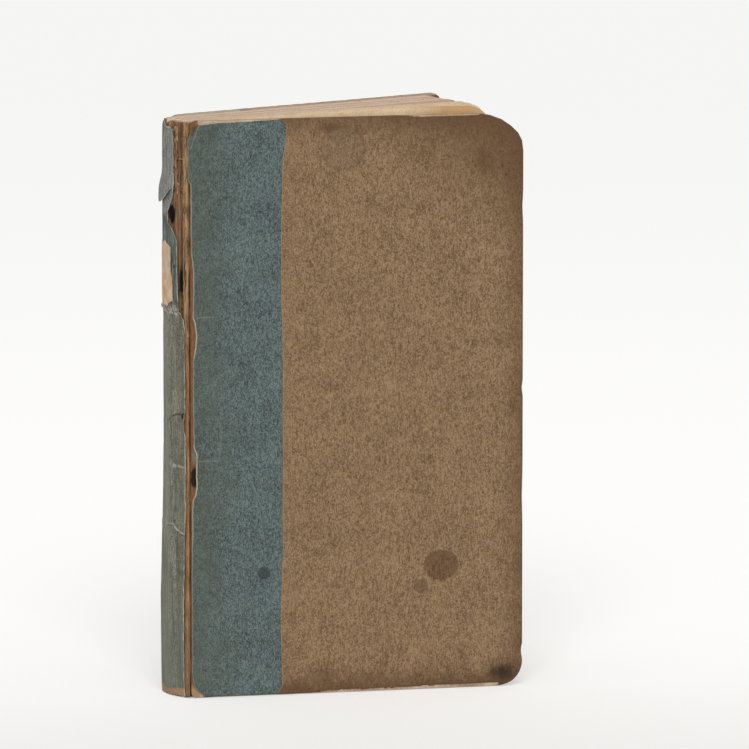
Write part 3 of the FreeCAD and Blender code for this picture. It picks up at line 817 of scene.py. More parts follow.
def finishPiece(
    name, bm, paint, nodes, place=stay, thick=0.0, offset=-1.0, body=None, bend=None, rimPaint=None,
    even=False,
):
    bmesh.ops.transform(bm, matrix=Matrix.Scale(mm, 4) @ place, verts=bm.verts)
    if place.determinant() < 0:
        bmesh.ops.reverse_faces(bm, faces=bm.faces)
    for face in bm.faces:
        face.smooth = True
    mesh = bpy.data.meshes.new(name)
    bm.to_mesh(mesh)
    bm.free()
    piece = bpy.data.objects.new(name, mesh)
    bpy.context.scene.collection.objects.link(piece)
    mesh.materials.append(paints[paint])
    if thick:
        solid = piece.modifiers.new("thickness", "SOLIDIFY")
        solid.thickness, solid.offset = thick * mm, offset
        solid.use_even_offset = even
        if rimPaint:
            mesh.materials.append(paints[rimPaint])
            solid.material_offset_rim = 1
    if body:
        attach(piece, body)
    else:
        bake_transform(piece, bend[0], bend[1], start=[c * mm for c in bend[2]], end=[c * mm for c in bend[3]])
    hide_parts(*nodes)
    return piece


def rimDistance(x, z):  # from the outline of a cover, inwards
    w, h, radius = book["coverWidth"], book["height"], book["tailCorner"]
    reach = min(w - x, z, h - z, 0.63 * (96.2 - x) + 0.777 * (179.1 - z) + 0.4)
    if x > w - radius and z < radius:
        reach = min(reach, radius - math.hypot(x - w + radius, z - radius))
    return reach


def dent(x, z):  # knocks on the fore-edge of the front cover, as (inwards, towards the inside)
    knock = 0.0
    for at, deep, wide in ((94.2, 0.35, 1.3), (11.3, 0.45, 1.2), (150.5, 0.25, 3.0), (60.0, 0.2, 5.0)):
        knock += deep * math.exp(-(((z - at) / wide) ** 2))
    return knock * smooth(book["coverWidth"] - 4.0, book["coverWidth"], x)


def slab(inset, left, y0, y1, round, joint=0.0, cut="headCut"):
    # a cover's outline as a flat face, raised to its thickness, with softened rims
    w, h = book["coverWidth"] - inset, book["height"] - inset
    bm = bmesh.new()
    outline = [(left, inset), (w, inset)] + [(x - inset, z - inset) for x, z in book[cut][::-1]] + [(left, h)]
    corners = [
        bm.verts.new((x, y0, z))
        for x, z in (outline if left < 90 and w > 90 else outline[:2] + [(w, h), (left, h)])
    ]
    bm.faces.new(corners)
    rounds = [(corners[1], book["tailCorner"])]
    if joint:
        rounds += [(corners[0], joint + inset), (corners[-1], joint + inset)]
    for at, radius in rounds:
        bmesh.ops.bevel(
            bm, geom=[at], offset=radius - inset, offset_type="OFFSET", segments=10, profile=0.5,
            affect="VERTICES", material=-1,
        )
    face = bm.faces[:][0]
    raised = bmesh.ops.extrude_face_region(bm, geom=[face])
    bmesh.ops.translate(bm, verts=[v for v in raised["geom"] if isinstance(v, bmesh.types.BMVert)], vec=(0, y1 - y0, 0))
    bm.normal_update()
    bmesh.ops.recalc_face_normals(bm, faces=bm.faces)
    rims = [e for e in bm.edges if e.calc_length() > 0.01 and abs(e.verts[0].co.y - e.verts[1].co.y) < 0.01
            and not (abs(e.verts[0].co.x - left) < 0.01 and abs(e.verts[1].co.x - left) < 0.01)]
    bmesh.ops.bevel(
        bm, geom=rims, offset=round, offset_type="OFFSET", segments=3, profile=0.5, affect="EDGES", material=-1,
    )
    return bm


def cutGrid(bm, xs, zs):
    for axis, places in (((1, 0, 0), xs), ((0, 0, 1), zs)):
        for at in places:
            bmesh.ops.bisect_plane(
                bm, geom=bm.verts[:] + bm.edges[:] + bm.faces[:], plane_co=[
                    at * a
                    for a in axis
                ], plane_no=axis, dist=1e-5,
            )


def steps(low, high, pitch):
    count = max(1, round((high - low) / pitch))
    return [low + (high - low) * i / count for i in range(count + 1)]


coverSettings = {
    "paperThick": 0.17,
    "round": 0.5,
    "grid": 2.6,
    "lap": 0.2,
    "cockle": 0.10,
    "tailWear": (34.0, 97.0, 1.45),
    "headWear": (66.0, 93.0, 0.55),
    "jointWear": [(0.0, 2.2), (3.0, 1.35), (8.0, 0.95), (16.0, 0.6), (26.0, 0.3), (32.0, 0.1)],
    "tear": [  # the torn joint edge of the blue strip, z and x
        (0.0, 4.4), (1.2, 3.3), (2.6, 1.6), (4.5, 0.5), (8.0, 0.2), (40.0, 0.15), (52.0, 0.4), (62.0, 0.4), (63.6, 1.3),
        (66.0, 1.75), (76.5, 1.7), (78.9, 0.8), (98.0, 0.7), (106.0, 0.75), (109.0, 1.3), (113.0, 1.85), (117.5, 1.3),
        (119.5, 0.6), (123.0, 0.8), (128.0, 0.95), (134.0, 0.85), (140.0, 0.3), (150.0, 0.1), (159.0, 0.15),
        (161.6, 0.0),
        (162.6, -0.65), (170.0, -0.75), (175.5, -0.7), (177.6, -0.1), (178.8, 0.7), (180.0, 2.2),
    ],
    "pale": [  # how much pale fibre shows along that edge
        (0.0, 0.2), (44.0, 0.25), (50.0, 0.55), (62.0, 0.6), (64.0, 0.95), (78.0, 0.9), (80.0, 0.35), (105.0, 0.35),
        (109.0, 0.95), (118.0, 0.9), (120.0, 0.5), (136.0, 0.6), (140.0, 0.35), (158.0, 0.5), (162.0, 0.2),
        (180.0, 0.2),
    ],
    "lapEdge": [  # the edge of the brown paper over the blue, z and x
        (0.0, 26.9), (1.2, 27.6), (3.0, 28.6), (9.0, 28.4), (23.0, 28.1), (45.0, 28.8), (110.0, 28.9), (118.0, 28.7),
        (124.0, 28.4), (147.0, 28.4), (155.0, 28.7), (164.0, 28.8), (168.0, 29.1), (174.0, 29.9), (176.6, 30.3),
        (178.4, 29.8), (179.4, 28.8), (180.0, 28.0),
    ],
}
rearJoint = {
    "shift": [
        (0.0, 0.0), (30.0, 0.1), (51.0, 0.6), (70.0, 1.0), (80.0, 1.2), (121.0, 1.2), (126.0, 1.0), (174.0, 1.0),
        (180.0, 1.2),
    ],
    "start": 1.4,
    "head": 7.0,
}


def rearStart(z):  # where the worn joint edge of the rear board is
    return rearJoint["start"] * along(rearJoint["shift"], z)


def cornerDrop(x, z, radius):  # lowers the head and raises the tail near a rounded joint corner
    if x >= radius:
        return z
    drop = radius - math.sqrt(radius**2 - min(radius, radius - x) ** 2)
    middle = book["height"] / 2
    return middle + (z - middle) * (1 - drop / middle)


def cockle(x, z):  # the gentle unevenness of pasted paper, always outwards
    s = coverSettings
    return s["cockle"] * swell(x * 0.035, 0, z * 0.03) + 0.05 * swell(x * 0.2, 3, z * 0.12)


def shapeCover(bm, front, blue):
    s = coverSettings
    lay, torn, rim, rub, *_ = layers(bm)
    for v in bm.verts:
        x, y, z = v.co
        outer = smooth(0.55, -0.1, y)
        v[torn], v[rub] = 9.0, 0.5
        if not front and z > book["height"] - 1.0 and x > 1.0:
            v[torn], v[rub] = 0.0, 0.8
        if front and blue and z > book["height"] - 0.25 and x > 2.2:
            v[torn], v[rub] = 0.0, 0.75
        pale = v[torn] < 1.0
        if blue:
            edge = along(s["tear"], z) + 0.22 * ragged(z, 3) if front else rearStart(z) + 1.0
            if front and y >= 0.6:
                edge = max(0.0, edge - 0.5)
            x += edge * max(0.0, 1 - x / 4.0)
            z = cornerDrop(x, z, 1.6 if front else rearJoint["head"])
            if front and y < 0.6:
                if not pale:
                    v[torn] = x - edge + 0.02
                    v[rub] = along(s["pale"], z)
                y -= 0.16 * outer * smooth(1.2, 0.0, x - edge) * (
                    0.6 + 0.4 * ripple(0, 0, z * 0.4)
                ) * smooth(-0.3, 0.3, x)
                y += 0.55 * max(0.0, -x) ** 1.3
        else:
            edge = along(s["lapEdge"], z) + 0.12 * ragged(z, 8, 0.2, 0.9)
            x += (edge - book["stripWidth"]) * (1 - smooth(29.0, 34.0, x)) * (1 if front and y < 0.6 else 0.3)
            y -= s["lap"] * outer * (1 - smooth(book["stripEnd"] + 0.1, book["stripEnd"] + 0.9, x))
            if not pale:
                v[torn] = (x - edge) * 1.6 if y < 0.4 else 9.0
                v[rub] = 0.42 + 0.25 * ripple(0, 3, z * 0.2)
        z += 0.25 * smooth(2.0, 0.0, z)
        v[lay] = (x, y, z)
        v[rim] = rimDistance(x, z)
        y -= cockle(x, z) * outer * smooth(0.4, 3.0, v[rim])
        if front:
            y += dent(x, z) * 0.4 * outer
            x -= dent(x, z)
        elif not blue:
            x -= 0.12 * swell(z * 0.1, 5, 0) * smooth(100.0, 105.0, x)
        v.co = (x, y, z)
    return bm


def wearAway(bm, front, blue):
    # the paper is rubbed off along parts of the head and tail edges, and the core shows
    s = coverSettings
    h = book["height"]
    t0, t1, tailHigh = s["tailWear"]
    h0, h1, headLow = s["headWear"]
    gone = []
    for face in bm.faces:
        c = face.calc_center_median()
        if not front:
            if c.z > h - 0.34 and -0.05 < c.y < book["board"] + 0.1 and 3.5 < c.x < 90:
                gone.append(face)
            continue
        if c.y > 0.75:
            continue
        if blue:
            if c.z > h - along(s["jointWear"], c.x) * (1 + 0.25 * ragged(c.x, 12, 0.5)):
                gone.append(face)
            continue
        if t0 < c.x < t1 and c.z < tailHigh * (
            0.7 * smooth(t0, t0 + 12, c.x) + 0.3 * smooth(60, 90, c.x)
        ) * (1.0 + 0.3 * ragged(c.x, 7)):
            gone.append(face)
        elif h0 < c.x < h1 and c.z > h - headLow * smooth(h0, h0 + 8, c.x) * smooth(h1, h1 - 4, c.x):
            gone.append(face)
    bmesh.ops.delete(bm, geom=gone, context="FACES")
    torn, rub = bm.verts.layers.float["torn"], bm.verts.layers.float["rub"]
    for v in bm.verts:
        if v.is_boundary and v.co.y < 0.9 and (v.co.z < 3 or v.co.z > h - 3) and v.co.x > (
            2.6 if blue else book["stripEnd"]
        ):
            v[torn], v[rub] = 0.0, 0.6
            v.co.z += 0.12 * ragged(v.co.x, 11, 0.8, 2.4)


def makeWrap(name, front, blue):
    s, h, p = coverSettings, book["height"], book["paper"]
    left = 0.0 if blue else book["stripWidth"]
    right = book["stripEnd"] if blue else book["coverWidth"]
    bm = slab(0.0, left, -p, book["board"] + p, s["round"] if front else 0.42, 0.0, headCuts[front])
    fine = [0.2, 0.5, 1.0, 1.8]
    xs = [left + f for f in (0.15, 0.35, 0.7, 1.2, 2.0, 3.0)] if blue else [left + 0.3, 30.6, 32.2, 32.9, 34.0]
    xs += steps(xs[-1] + 1.5, right - 2.5, 1.2 if not front else s["grid"])
    turn = book["coverWidth"] - book["turnIn"]
    xs += [right] if blue else [turn] + [book["coverWidth"] - f for f in fine]
    zs = [0.7, 1.0, 1.3] + fine[3:] + [h - f for f in (0.2, 0.4, 0.6, 0.8, 1.0, 1.3, 1.8)]
    zs += steps(3.0, h - 3.0, 0.7 if (blue and front) else s["grid"]) + [book["turnIn"], h - book["turnIn"]]
    if not blue:
        xs += steps(36.0, 96.0, 1.0)
    cutGrid(bm, sorted(set(xs)), sorted(set(zs)))
    gone = []
    for face in bm.faces:
        c = face.calc_center_median()
        inside = abs(c.y - book["board"] - p) < 0.01
        if c.x > right or abs(c.x - left) < 1e-4 and abs(face.normal.x) > 0.9:
            gone.append(face)
        elif inside and c.x < turn and book["turnIn"] < c.z < h - book["turnIn"]:
            gone.append(face)
    bmesh.ops.delete(bm, geom=gone, context="FACES")
    shapeCover(bm, front, blue)
    wearAway(bm, front, blue)
    paint = ("blue" if blue else "brown") + ("Front" if front else "Rear")
    node = {(True, True): "front_spine_strip", (True, False): "front_side_paper", (False, False): "rear_side_paper"}
    nodes = [node.get((front, blue), "spine_paper")]
    return finishPiece(
        name, bm, paint, nodes, places[front], s["paperThick"], -1.0, covers[front], even=not blue,
    )


def makeBoard(name, front):
    h = book["height"]
    bm = slab(0.2, 0.0, 0.0, book["board"], 0.18 if front else 0.4, 1.6 if front else 0.0, headCuts[front])
    cutGrid(
        bm, steps(8.0, 96.0, 8.0) + [1.0, 2.0, 3.0, 4.5, 6.0, 101.0, 102.5, 104.0],
        steps(4.0, h - 4.0, 4.0) + [9.8, 11.3, 12.8, 93.0, 94.2, 95.4],
    )
    lay, _, rim, *_ = layers(bm)
    for v in bm.verts:
        if not front:
            v.co.z = cornerDrop(v.co.x, v.co.z, rearJoint["head"])
            v.co.x += (rearStart(v.co.z) + 0.3) * max(0.0, 1 - v.co.x / 6.0)
        v[lay] = v.co
        v[rim] = rimDistance(v.co.x, v.co.z)
        if front:
            v.co.x -= dent(v.co.x, v.co.z)
        v.co.x += 0.12 * smooth(0.5, 0.0, v.co.x) * swell(0, v.co.y, v.co.z * 0.5)
    return finishPiece(
        name, bm, "core", ["front_board" if front else "rear_board"],
        places[front], body=covers[front],
    )


makeBoard("frontBoard", True)
makeBoard("rearBoard", False)
makeWrap("frontSidePaper", True, False)
makeWrap("frontSpineStrip", True, True)
makeWrap("rearSidePaper", False, False)
makeWrap("rearSpineStrip", False, True)
print("covers made")


# Endpapers: a pastedown on each board, a free leaf, and the fold between them

leafSettings = {
    "thick": 0.15,
    "leafThick": 0.13,
    "start": 1.4,
    "margin": 2.0,
    "lift": 0.3,
    "flat": 39.0,
    "corner": 5.0,
    "reach": 1217.0,
    "leaves": {  # bend in degrees, length past the block, off the block, head corner, worn off the head
        "frontFlyleaf": (35.0, 2.6, 0.12, 6.5, 0.5), "frontLeafB": (27.0, 1.8, 0.06, 4.0, 0.4),
        "frontLeafC": (19.0, 1.0, 0.03, 3.0, 0.25), "frontLeafD": (10.0, 0.6, 0.0, 2.5, 0.5),
    },
}


def roundCorner(x, z, right, head, tail, low, top):  # pulls a square corner on to its arc
    for radius, cz, sign in ((tail, low + tail, -1), (head, top - head, 1)):
        dx, dz = (x - (right - radius)) / radius, (z - cz) * sign / radius
        if dx > 0 and dz > 0:
            scale = max(dx, dz) / math.hypot(dx, dz)
            x, z = right - radius + dx * scale * radius, cz + sign * dz * scale * radius
    return x, z


def makePastedown(name, front):
    s = leafSettings
    h, w = book["height"], book["coverWidth"]
    bm = newSheet(46, 84)
    lay, torn, rim, *_ = layers(bm)
    m, turn = s["margin"], book["turnIn"]
    for v in bm.verts:
        x = lerp(s["start"], w - m, v.co.x)
        z = lerp(m, h - m, v.co.y)
        x, z = roundCorner(x, z, w - m, 8.5, 6.5, m, h - m)
        inward = min(smooth(turn + 0.8, turn - 0.2, w - x) + smooth(turn + 0.8, turn - 0.2, min(z, h - z)), 1.0)
        y = book["board"] + s["thick"] + 0.02 + book["paper"] * inward
        y += 0.05 * ripple(x * 0.05, 2, z * 0.04) * (1 - inward)
        v.co = (x, y, z)
        v[lay] = (x, 0, z)
        v[rim] = min(w - m - x, z - m, h - m - z) + 0.4
        v[torn] = 9.0
    bmesh.ops.reverse_faces(bm, faces=bm.faces)
    return finishPiece(
        name, bm, "pastedown", endpapers[front],
        places[front], s["thick"], -1.0, covers[front],
    )


def leafPath(distance, bend):  # how far along and how far off the block a point of a free leaf is
    s = leafSettings
    flat = s["flat"] - s["start"]
    if not bend or distance < flat:
        return distance, 0.0
    radius = (book["pageWidth"] / 2 - hingeX - s["flat"]) / math.radians(bend)
    angle = (distance - flat) / radius
    return flat + radius * math.sin(angle), radius * (1 - math.cos(angle))


def makeLeaf(name, front, paint):
    s, slotName, nodes = leafSettings, "endpaper", endpapers[front]
    h = book["height"]
    bend, extra, lift, corner, worn = s["leaves"].get(name, (0.0, 0.0, 0.1, 3.0, 0.3))
    root = hingeX + s["start"]
    length = book["pageWidth"] / 2 - root + extra
    bm = newSheet(76, 92)
    lay, torn, rim, _, leaf = layers(bm)
    side = -1 if front else 1
    for v in bm.verts:
        run, z = v.co.x * length, lerp(s["lift"], h - s["lift"], v.co.y)
        run, z = roundCorner(run, z, length, corner, s["corner"], s["lift"], h - s["lift"])
        z -= worn * (0.4 + 0.6 * max(0, ragged(run * 0.4, 21 + bend))) * smooth(h - 4, h, z)
        x, off = leafPath(run, bend)
        off += lift + (0.3 * swell(run * 0.05, bend, z * 0.02) * smooth(20, 60, run) * min(1.0, bend))
        v.co = (root + x, side * (book["blockHalf"] + off), z)
        v[lay] = (run, 0, z)
        v[rim] = min(length - run, z - s["lift"], h - s["lift"] - z) + 0.2
        v[torn], v[leaf] = 9.0, 0.5 + 0.4 * ripple(bend, 3, 1)
    if not front:
        bmesh.ops.reverse_faces(bm, faces=bm.faces)
    if not bend:
        return finishPiece(
            name, bm, paint, nodes, stay, s["leafThick"], 0.0, "text_block", rimPaint="pageEdges",
        )
    # a leaf that stands away from the block is pressed flat as the cover closes
    start = hingeX + s["flat"]
    tip = (start, 0, 0), (start + s["reach"] / bend**0.65, 0, 0)
    return finishPiece(
        name, bm, paint, nodes, stay, s["leafThick"], 0.0, bend=(
            "text_block", "front_cover",
        ) + tip, rimPaint="pageEdges",
    )


jointSettings = {
    "frontLow": [
        (1.5, -6.62), (-0.4, -6.5), (-0.6, -5.9), (-0.66, -6.2), (-0.64, -6.8), (-0.56, -7.3), (-0.4, -7.9),
        (-0.05, -7.7),
    ],
    "frontHigh": [
        (1.5, -6.62), (0.2, -6.55), (-0.75, -6.2), (-1.25, -6.3), (-1.35, -6.8), (-1.1, -7.35), (-0.65, -7.9),
        (-0.1, -7.75),
    ],
    "rear": [(1.5, 6.62), (0.9, 6.64), (0.6, 6.8), (0.7, 6.98), (1.5, 7.0)],
    "open": (116.0, 121.0),
    "seed": 5,
}


def makeJointFold(name, front):
    # the fold of the endpaper: it comes round from the leaf and goes on to the board
    s = jointSettings
    h = book["height"]
    high = list(s["frontHigh"] if front else s["rear"])
    low = list(s["frontLow"] if front else s["rear"])
    if front:
        turn = math.radians(book["ajar"])
        x, y = 1.5, book["board"] + 0.1
        end = (x * math.cos(turn) + y * math.sin(turn), -hingeY - x * math.sin(turn) + y * math.cos(turn))
        high.append(end)
        low.append(end)
    bm = newSheet((len(high) - 1) * 3, 300)
    lay, torn, rim, *_ = layers(bm)
    for v in bm.verts:
        z = lerp(0.5, h - 0.5, v.co.y)
        z -= 0.5 * unit(ragged(v.co.x * 9, 17)) * smooth(0.9, 1.0, v.co.y)
        share = smooth(s["open"][0], s["open"][1], z)
        at = v.co.x * (len(high) - 1)
        i = min(int(at), len(high) - 2)
        t = at - i
        spots = [tuple(lerp(l, u, share) for l, u in zip(low[k], high[k])) for k in (i, i + 1)]
        x, y = lerp(spots[0][0], spots[1][0], t), lerp(spots[0][1], spots[1][1], t)
        wave = math.sin(math.pi * v.co.x) ** 0.5
        x += wave * (0.20 * ragged(z, s["seed"], 0.12, 0.7) + 0.10 * ripple(at * 1.3, 1, z * 0.9)) if front else 0
        y += wave * 0.08 * ragged(z, s["seed"] + 2, 0.2, 0.9) if front else 0
        v.co = (hingeX + x, y, z)
        v[lay] = (at * 0.45, 0, z)
        v[torn], v[rim] = 9.0, 9.0
    if front:
        bend = ("text_block", "front_cover", (hingeX + 0.3, -6.6, 0), (hingeX + 0.2, -7.5, 0))
    else:
        bend = ("text_block", "rear_cover", (hingeX + 1.0, 6.66, 0), (hingeX + 1.0, 6.98, 0))
    return finishPiece(
        name, bm, "joint", endpapers[front], stay, 0.12, 0.0, bend=bend,
    )


makePastedown("frontPastedown", True)
makePastedown("rearPastedown", False)
makeLeaf("frontFlyleaf", True, "flyleaf")
for leafName in ("frontLeafB", "frontLeafC", "frontLeafD"):
    makeLeaf(leafName, True, "pastedown")
makeLeaf("rearFlyleaf", False, "pastedown")
makeJointFold("frontJointFold", True)
makeJointFold("rearJointFold", False)
print("endpapers made")


# Text block: eleven gatherings of folded sheets

blockSettings = {
    "sheets": 4,
    "sheet": 0.11,
    "gap": 0.06,
    "first": 1.45,
    "parted": 0.65,
    "headWorn": [0.15, 0.2, 0.16, 0.52, 0.14, 0.2, 0.5, 0.1, 0.16, 0.1, 0.24],
    "spineOut": [0.0, -0.2, 0.05, -0.12, 0.1, 0.0, -0.1, 0.08, 0.0, -0.05, 0.0],
    "foreHollow": 0.8,
    "foreWorn": 0.5,
    "cornerHead": 1.8,
    "cornerTail": 3.0,
    "along": 34,
    "fold": 8,
    "bulge": 0.1,
    "rows": [
        0, 0.004, 0.012, 0.03, 0.07, 0.13, 0.2, 0.28, 0.36, 0.44, 0.52, 0.6, 0.68, 0.76, 0.83, 0.88, 0.93, 0.965, 0.985,
        0.995, 1.0,
    ],
}


def spineAt(y, off=0.0):
    return book["spineCentre"] - math.sqrt((book["spineRadius"] + off) ** 2 - y**2)


def makeTextBlock():
    s = blockSettings
    h, half = book["height"], book["blockHalf"]
    count = book["gatherings"]
    evenPitch = 2 * half / count
    spinePitch = (2 * half - s["parted"] - s["first"]) / (count - 1)
    fore = book["pageWidth"] / 2
    whole = newWhole()
    for i in range(count):
        thick = s["first"] if i == 0 else spinePitch
        middle = -half + thick / 2 if i == 0 else -half + s["first"] + s["parted"] + (i - 0.5) * spinePitch
        foreMiddle = -half + (i + 0.5) * evenPitch
        out = s["spineOut"][i]
        for j in range(s["sheets"]):
            ring = 1 - (j + 0.5) / s["sheets"]
            radius, foreRadius = (thick / 2 - s["gap"] / 2) * ring, (evenPitch / 2 - s["gap"] / 2) * ring
            seed = i * 7 + j
            columns = 2 * s["along"] + s["fold"]
            bm = newSheet(columns, len(s["rows"]) - 1)
            lay, torn, rim, _, leaf = layers(bm)
            shade = swell(seed * 1.7, 2.2, 0.3)
            for v in bm.verts:
                at = round(v.co.x * columns)
                share = s["rows"][round(v.co.y * (len(s["rows"]) - 1))]
                if at <= s["along"]:
                    run, side = 1 - at / s["along"], -1
                elif at >= s["along"] + s["fold"]:
                    run, side = (at - s["along"] - s["fold"]) / s["along"], 1
                else:
                    run, side = 0.0, 0
                z = share * h
                pushed = 1.1 * along(rearJoint["shift"], z) * smooth(3.3, 6.4, middle)
                wavy = 0.14 * ripple(i * 2.0, 0, z * 0.03) + 0.05 * ripple(i * 3.0, 1, z * 0.15)
                spine = spineAt(middle) + s["bulge"] + pushed - out + wavy + (thick / 2 - radius)
                close = smooth(0.0, 0.45, run)
                y = lerp(middle, foreMiddle, close) + side * lerp(radius, foreRadius, close)
                worn = s["foreWorn"] * swell(seed * 2.3, side, 9.1) if side else 0
                edge = fore - s["foreHollow"] * (1 - (y / half) ** 2) - worn
                if side:
                    x = lerp(spine + radius, edge, run)
                else:
                    angle = math.pi * (at - s["along"]) / s["fold"]
                    x = spine + radius - radius * math.sin(angle)
                    y = middle - radius * math.cos(angle)
                top = h - s["headWorn"][i] - 0.22 * swell(seed * 3.1, 4.0, side)
                top -= 0.16 * unit(ragged(x * 0.5, seed, 0.3, 1.3))
                top -= smooth(3.5, 0.0, x - spine) * (
                    0.5 + 0.9 * ripple(i * 1.9, 6, 0) ** 2 + 1.7 * smooth(0.5, 4.5, middle)
                )
                bottom = 0.02 + 0.2 * swell(x * 0.1, 8.0, seed * 2.0)
                z = lerp(bottom, top, share)
                x, z = roundCorner(x, z, edge, s["cornerHead"], s["cornerTail"], bottom, top)
                v.co = (x, y, z)
                v[lay] = (x - spine, y, z)
                v[torn], v[rim] = 9.0, 9.0
                v[leaf] = shade
            pour(bm, whole)
    return finishPiece(
        "textBlock", whole, "pages", [
            "text_block"
        ], stay, s["sheet"], 0.0, "text_block", rimPaint="pageEdges",
    )


makeTextBlock()
print("text block made")


# Spine: the torn blue paper, the label, the flap, the split and the torn fringe

spineSettings = {
    "offset": 0.12,
    "front": [  # z and y of the torn front edge
        (0.4, -6.3), (5.0, -6.3), (12.0, -6.2), (34.0, -6.2), (50.0, -6.5), (54.0, -6.8), (74.0, -6.9),
        (83.0, -6.9), (85.0, -6.3), (87.0, -6.3), (88.6, -6.8), (104.0, -6.7), (117.0, -6.7), (119.6, -6.4),
        (121.2, -5.3), (122.4, -4.7),
        (128.0, -4.6), (134.0, -4.4), (144.0, -4.4), (146.8, -3.0), (149.0, 0.0), (152.4, 0.7), (154.4, -0.8),
        (157.6, -2.2), (160.0, -2.6), (167.0, -2.7), (176.0, -2.5), (179.2, -1.8),
    ],
    "lift": [
        (0.0, 0.05), (20.0, 0.1), (54.0, 0.12), (84.0, 0.1), (117.0, 0.08), (124.0, 0.45), (145.0, 0.6), (152.0, 0.2),
        (160.0, 0.35), (176.0, 0.2),
    ],
    "rub": [(-6.5, 3.2), (-4.0, 2.9), (0.0, 2.3), (2.4, 2.1), (5.0, 2.9), (8.4, 4.9)],
    "split": [(-6.5, 88.9), (-3.8, 88.9), (-1.7, 88.0), (0.7, 85.9), (3.0, 80.0)],
    "across": [(3.0, 54.3), (-1.9, 53.9), (-3.7, 52.2), (-6.5, 51.2)],
    "head": [(-3.0, 3.0), (-1.0, 2.2), (1.0, 2.4), (2.2, 1.2), (4.0, 1.0), (6.0, 2.4), (8.4, 4.4)],
}


def leaveAt(z):  # the y at which the spine paper leaves the round of the back
    return lerp(6.2, 3.8, along(rearJoint["shift"], z) / 1.2)


def backPoint(y, z, off, t=None):
    # a point of the spine; towards the rear joint it leaves the round and goes on to the board
    leave = leaveAt(z)
    if t is None and y <= leave:
        return Vector((spineAt(y, off), y, z))
    a = (spineAt(leave), leave)
    b = (hingeX + rearStart(z) * 0.75 - 0.25, hingeY)
    c = (hingeX + rearStart(z) + 1.4, hingeY + 0.08)
    if t is None:
        p, q, r = a[1] - 2 * b[1] + c[1], 2 * (b[1] - a[1]), a[1] - min(y, c[1])
        t = (math.sqrt(max(0.0, q * q - 4 * p * r)) - q) / (2 * p)
    point = [a[i] * (1 - t) ** 2 + 2 * b[i] * t * (1 - t) + c[i] * t * t for i in (0, 1)]
    run = Vector([(b[i] - a[i]) * (1 - t) + (c[i] - b[i]) * t for i in (0, 1)]).normalized()
    return Vector((point[0] - run.y * off, point[1] + run.x * off, z))


def aroundSpine(y):  # how far round the back from its middle
    return book["spineRadius"] * math.asin(y / book["spineRadius"])


def makeSpinePaper():
    s = spineSettings
    h = book["height"]
    columns, rows = 52, 360
    bm = newSheet(columns, rows)
    lay, torn, rim, rub, *_ = layers(bm)
    for v in bm.verts:
        u, share = v.co.x, v.co.y
        z = lerp(0.35, h - 1.0, share)
        front = along(s["front"], z) + 0.28 * ragged(z, 1)
        leave = leaveAt(z)
        bend = max(0.0, (u - 0.72) / 0.28)
        y = lerp(front, leave, min(1.0, u / 0.72) ** 1.4) + bend * 2.4
        d = y - front
        top = h - along(s["head"], y + bend * 2.0) - 0.4 * ragged(y, 9)
        bottom = 0.35 + 1.7 * smooth(0.35, 1.0, bend) ** 2
        z = lerp(bottom, top, share)
        off = s["offset"] + along(s["lift"], z) * smooth(2.6, 0.0, d) ** 1.5
        wrinkle = 0.26 * smooth(58, 48, z) * smooth(4, 16, z) * (
            0.5 + 0.5 * math.sin(y * 2.2 + 2.4 * ripple(y * 0.3, 0, z * 0.04))
        )
        off += wrinkle + 0.10 * swell(y * 0.5, 1, z * 0.14) + 0.07 * swell(y * 1.3, 4, z * 0.5)
        split = along(s["split"], y)
        off += 0.34 * smooth(split - 5.0, split, z) * smooth(split + 0.35, split, z) * smooth(3.0, 0.5, y)
        across = along([(b, a) for b, a in s["across"]][::-1], y)
        off += 0.1 * smooth(across - 3.0, across, z) * smooth(across + 0.3, across, z)
        off -= 0.16 * smooth(3.4, 0.3, z)
        off += 0.45 * smooth(top - 0.9, top, z) * smooth(2.6, 1.6, y) - 0.25 * smooth(
            top - 1.0, top, z,
        ) * smooth(3.0, 5.0, y)
        off *= 1 - 0.75 * smooth(0.5, 1.0, bend)
        v.co = backPoint(y, z, off, bend if bend else None)
        v[lay] = (aroundSpine(min(y, 9.0)), 0, z)
        v[torn] = min(d + 0.02, (top - z) * 0.6 + 0.05 if y < 3 else 9)
        v[rim] = 9.0
        v[rub] = (along(s["rub"], y) - z) / 1.2
    bmesh.ops.reverse_faces(bm, faces=bm.faces)
    bend = ("text_block", "rear_cover", (hingeX - 0.6, 6.9, 0), (hingeX, 8.3, 0))
    return finishPiece("spinePaper", bm, "spine", ["spine_paper"], stay, 0.16, 0.0, bend=bend)


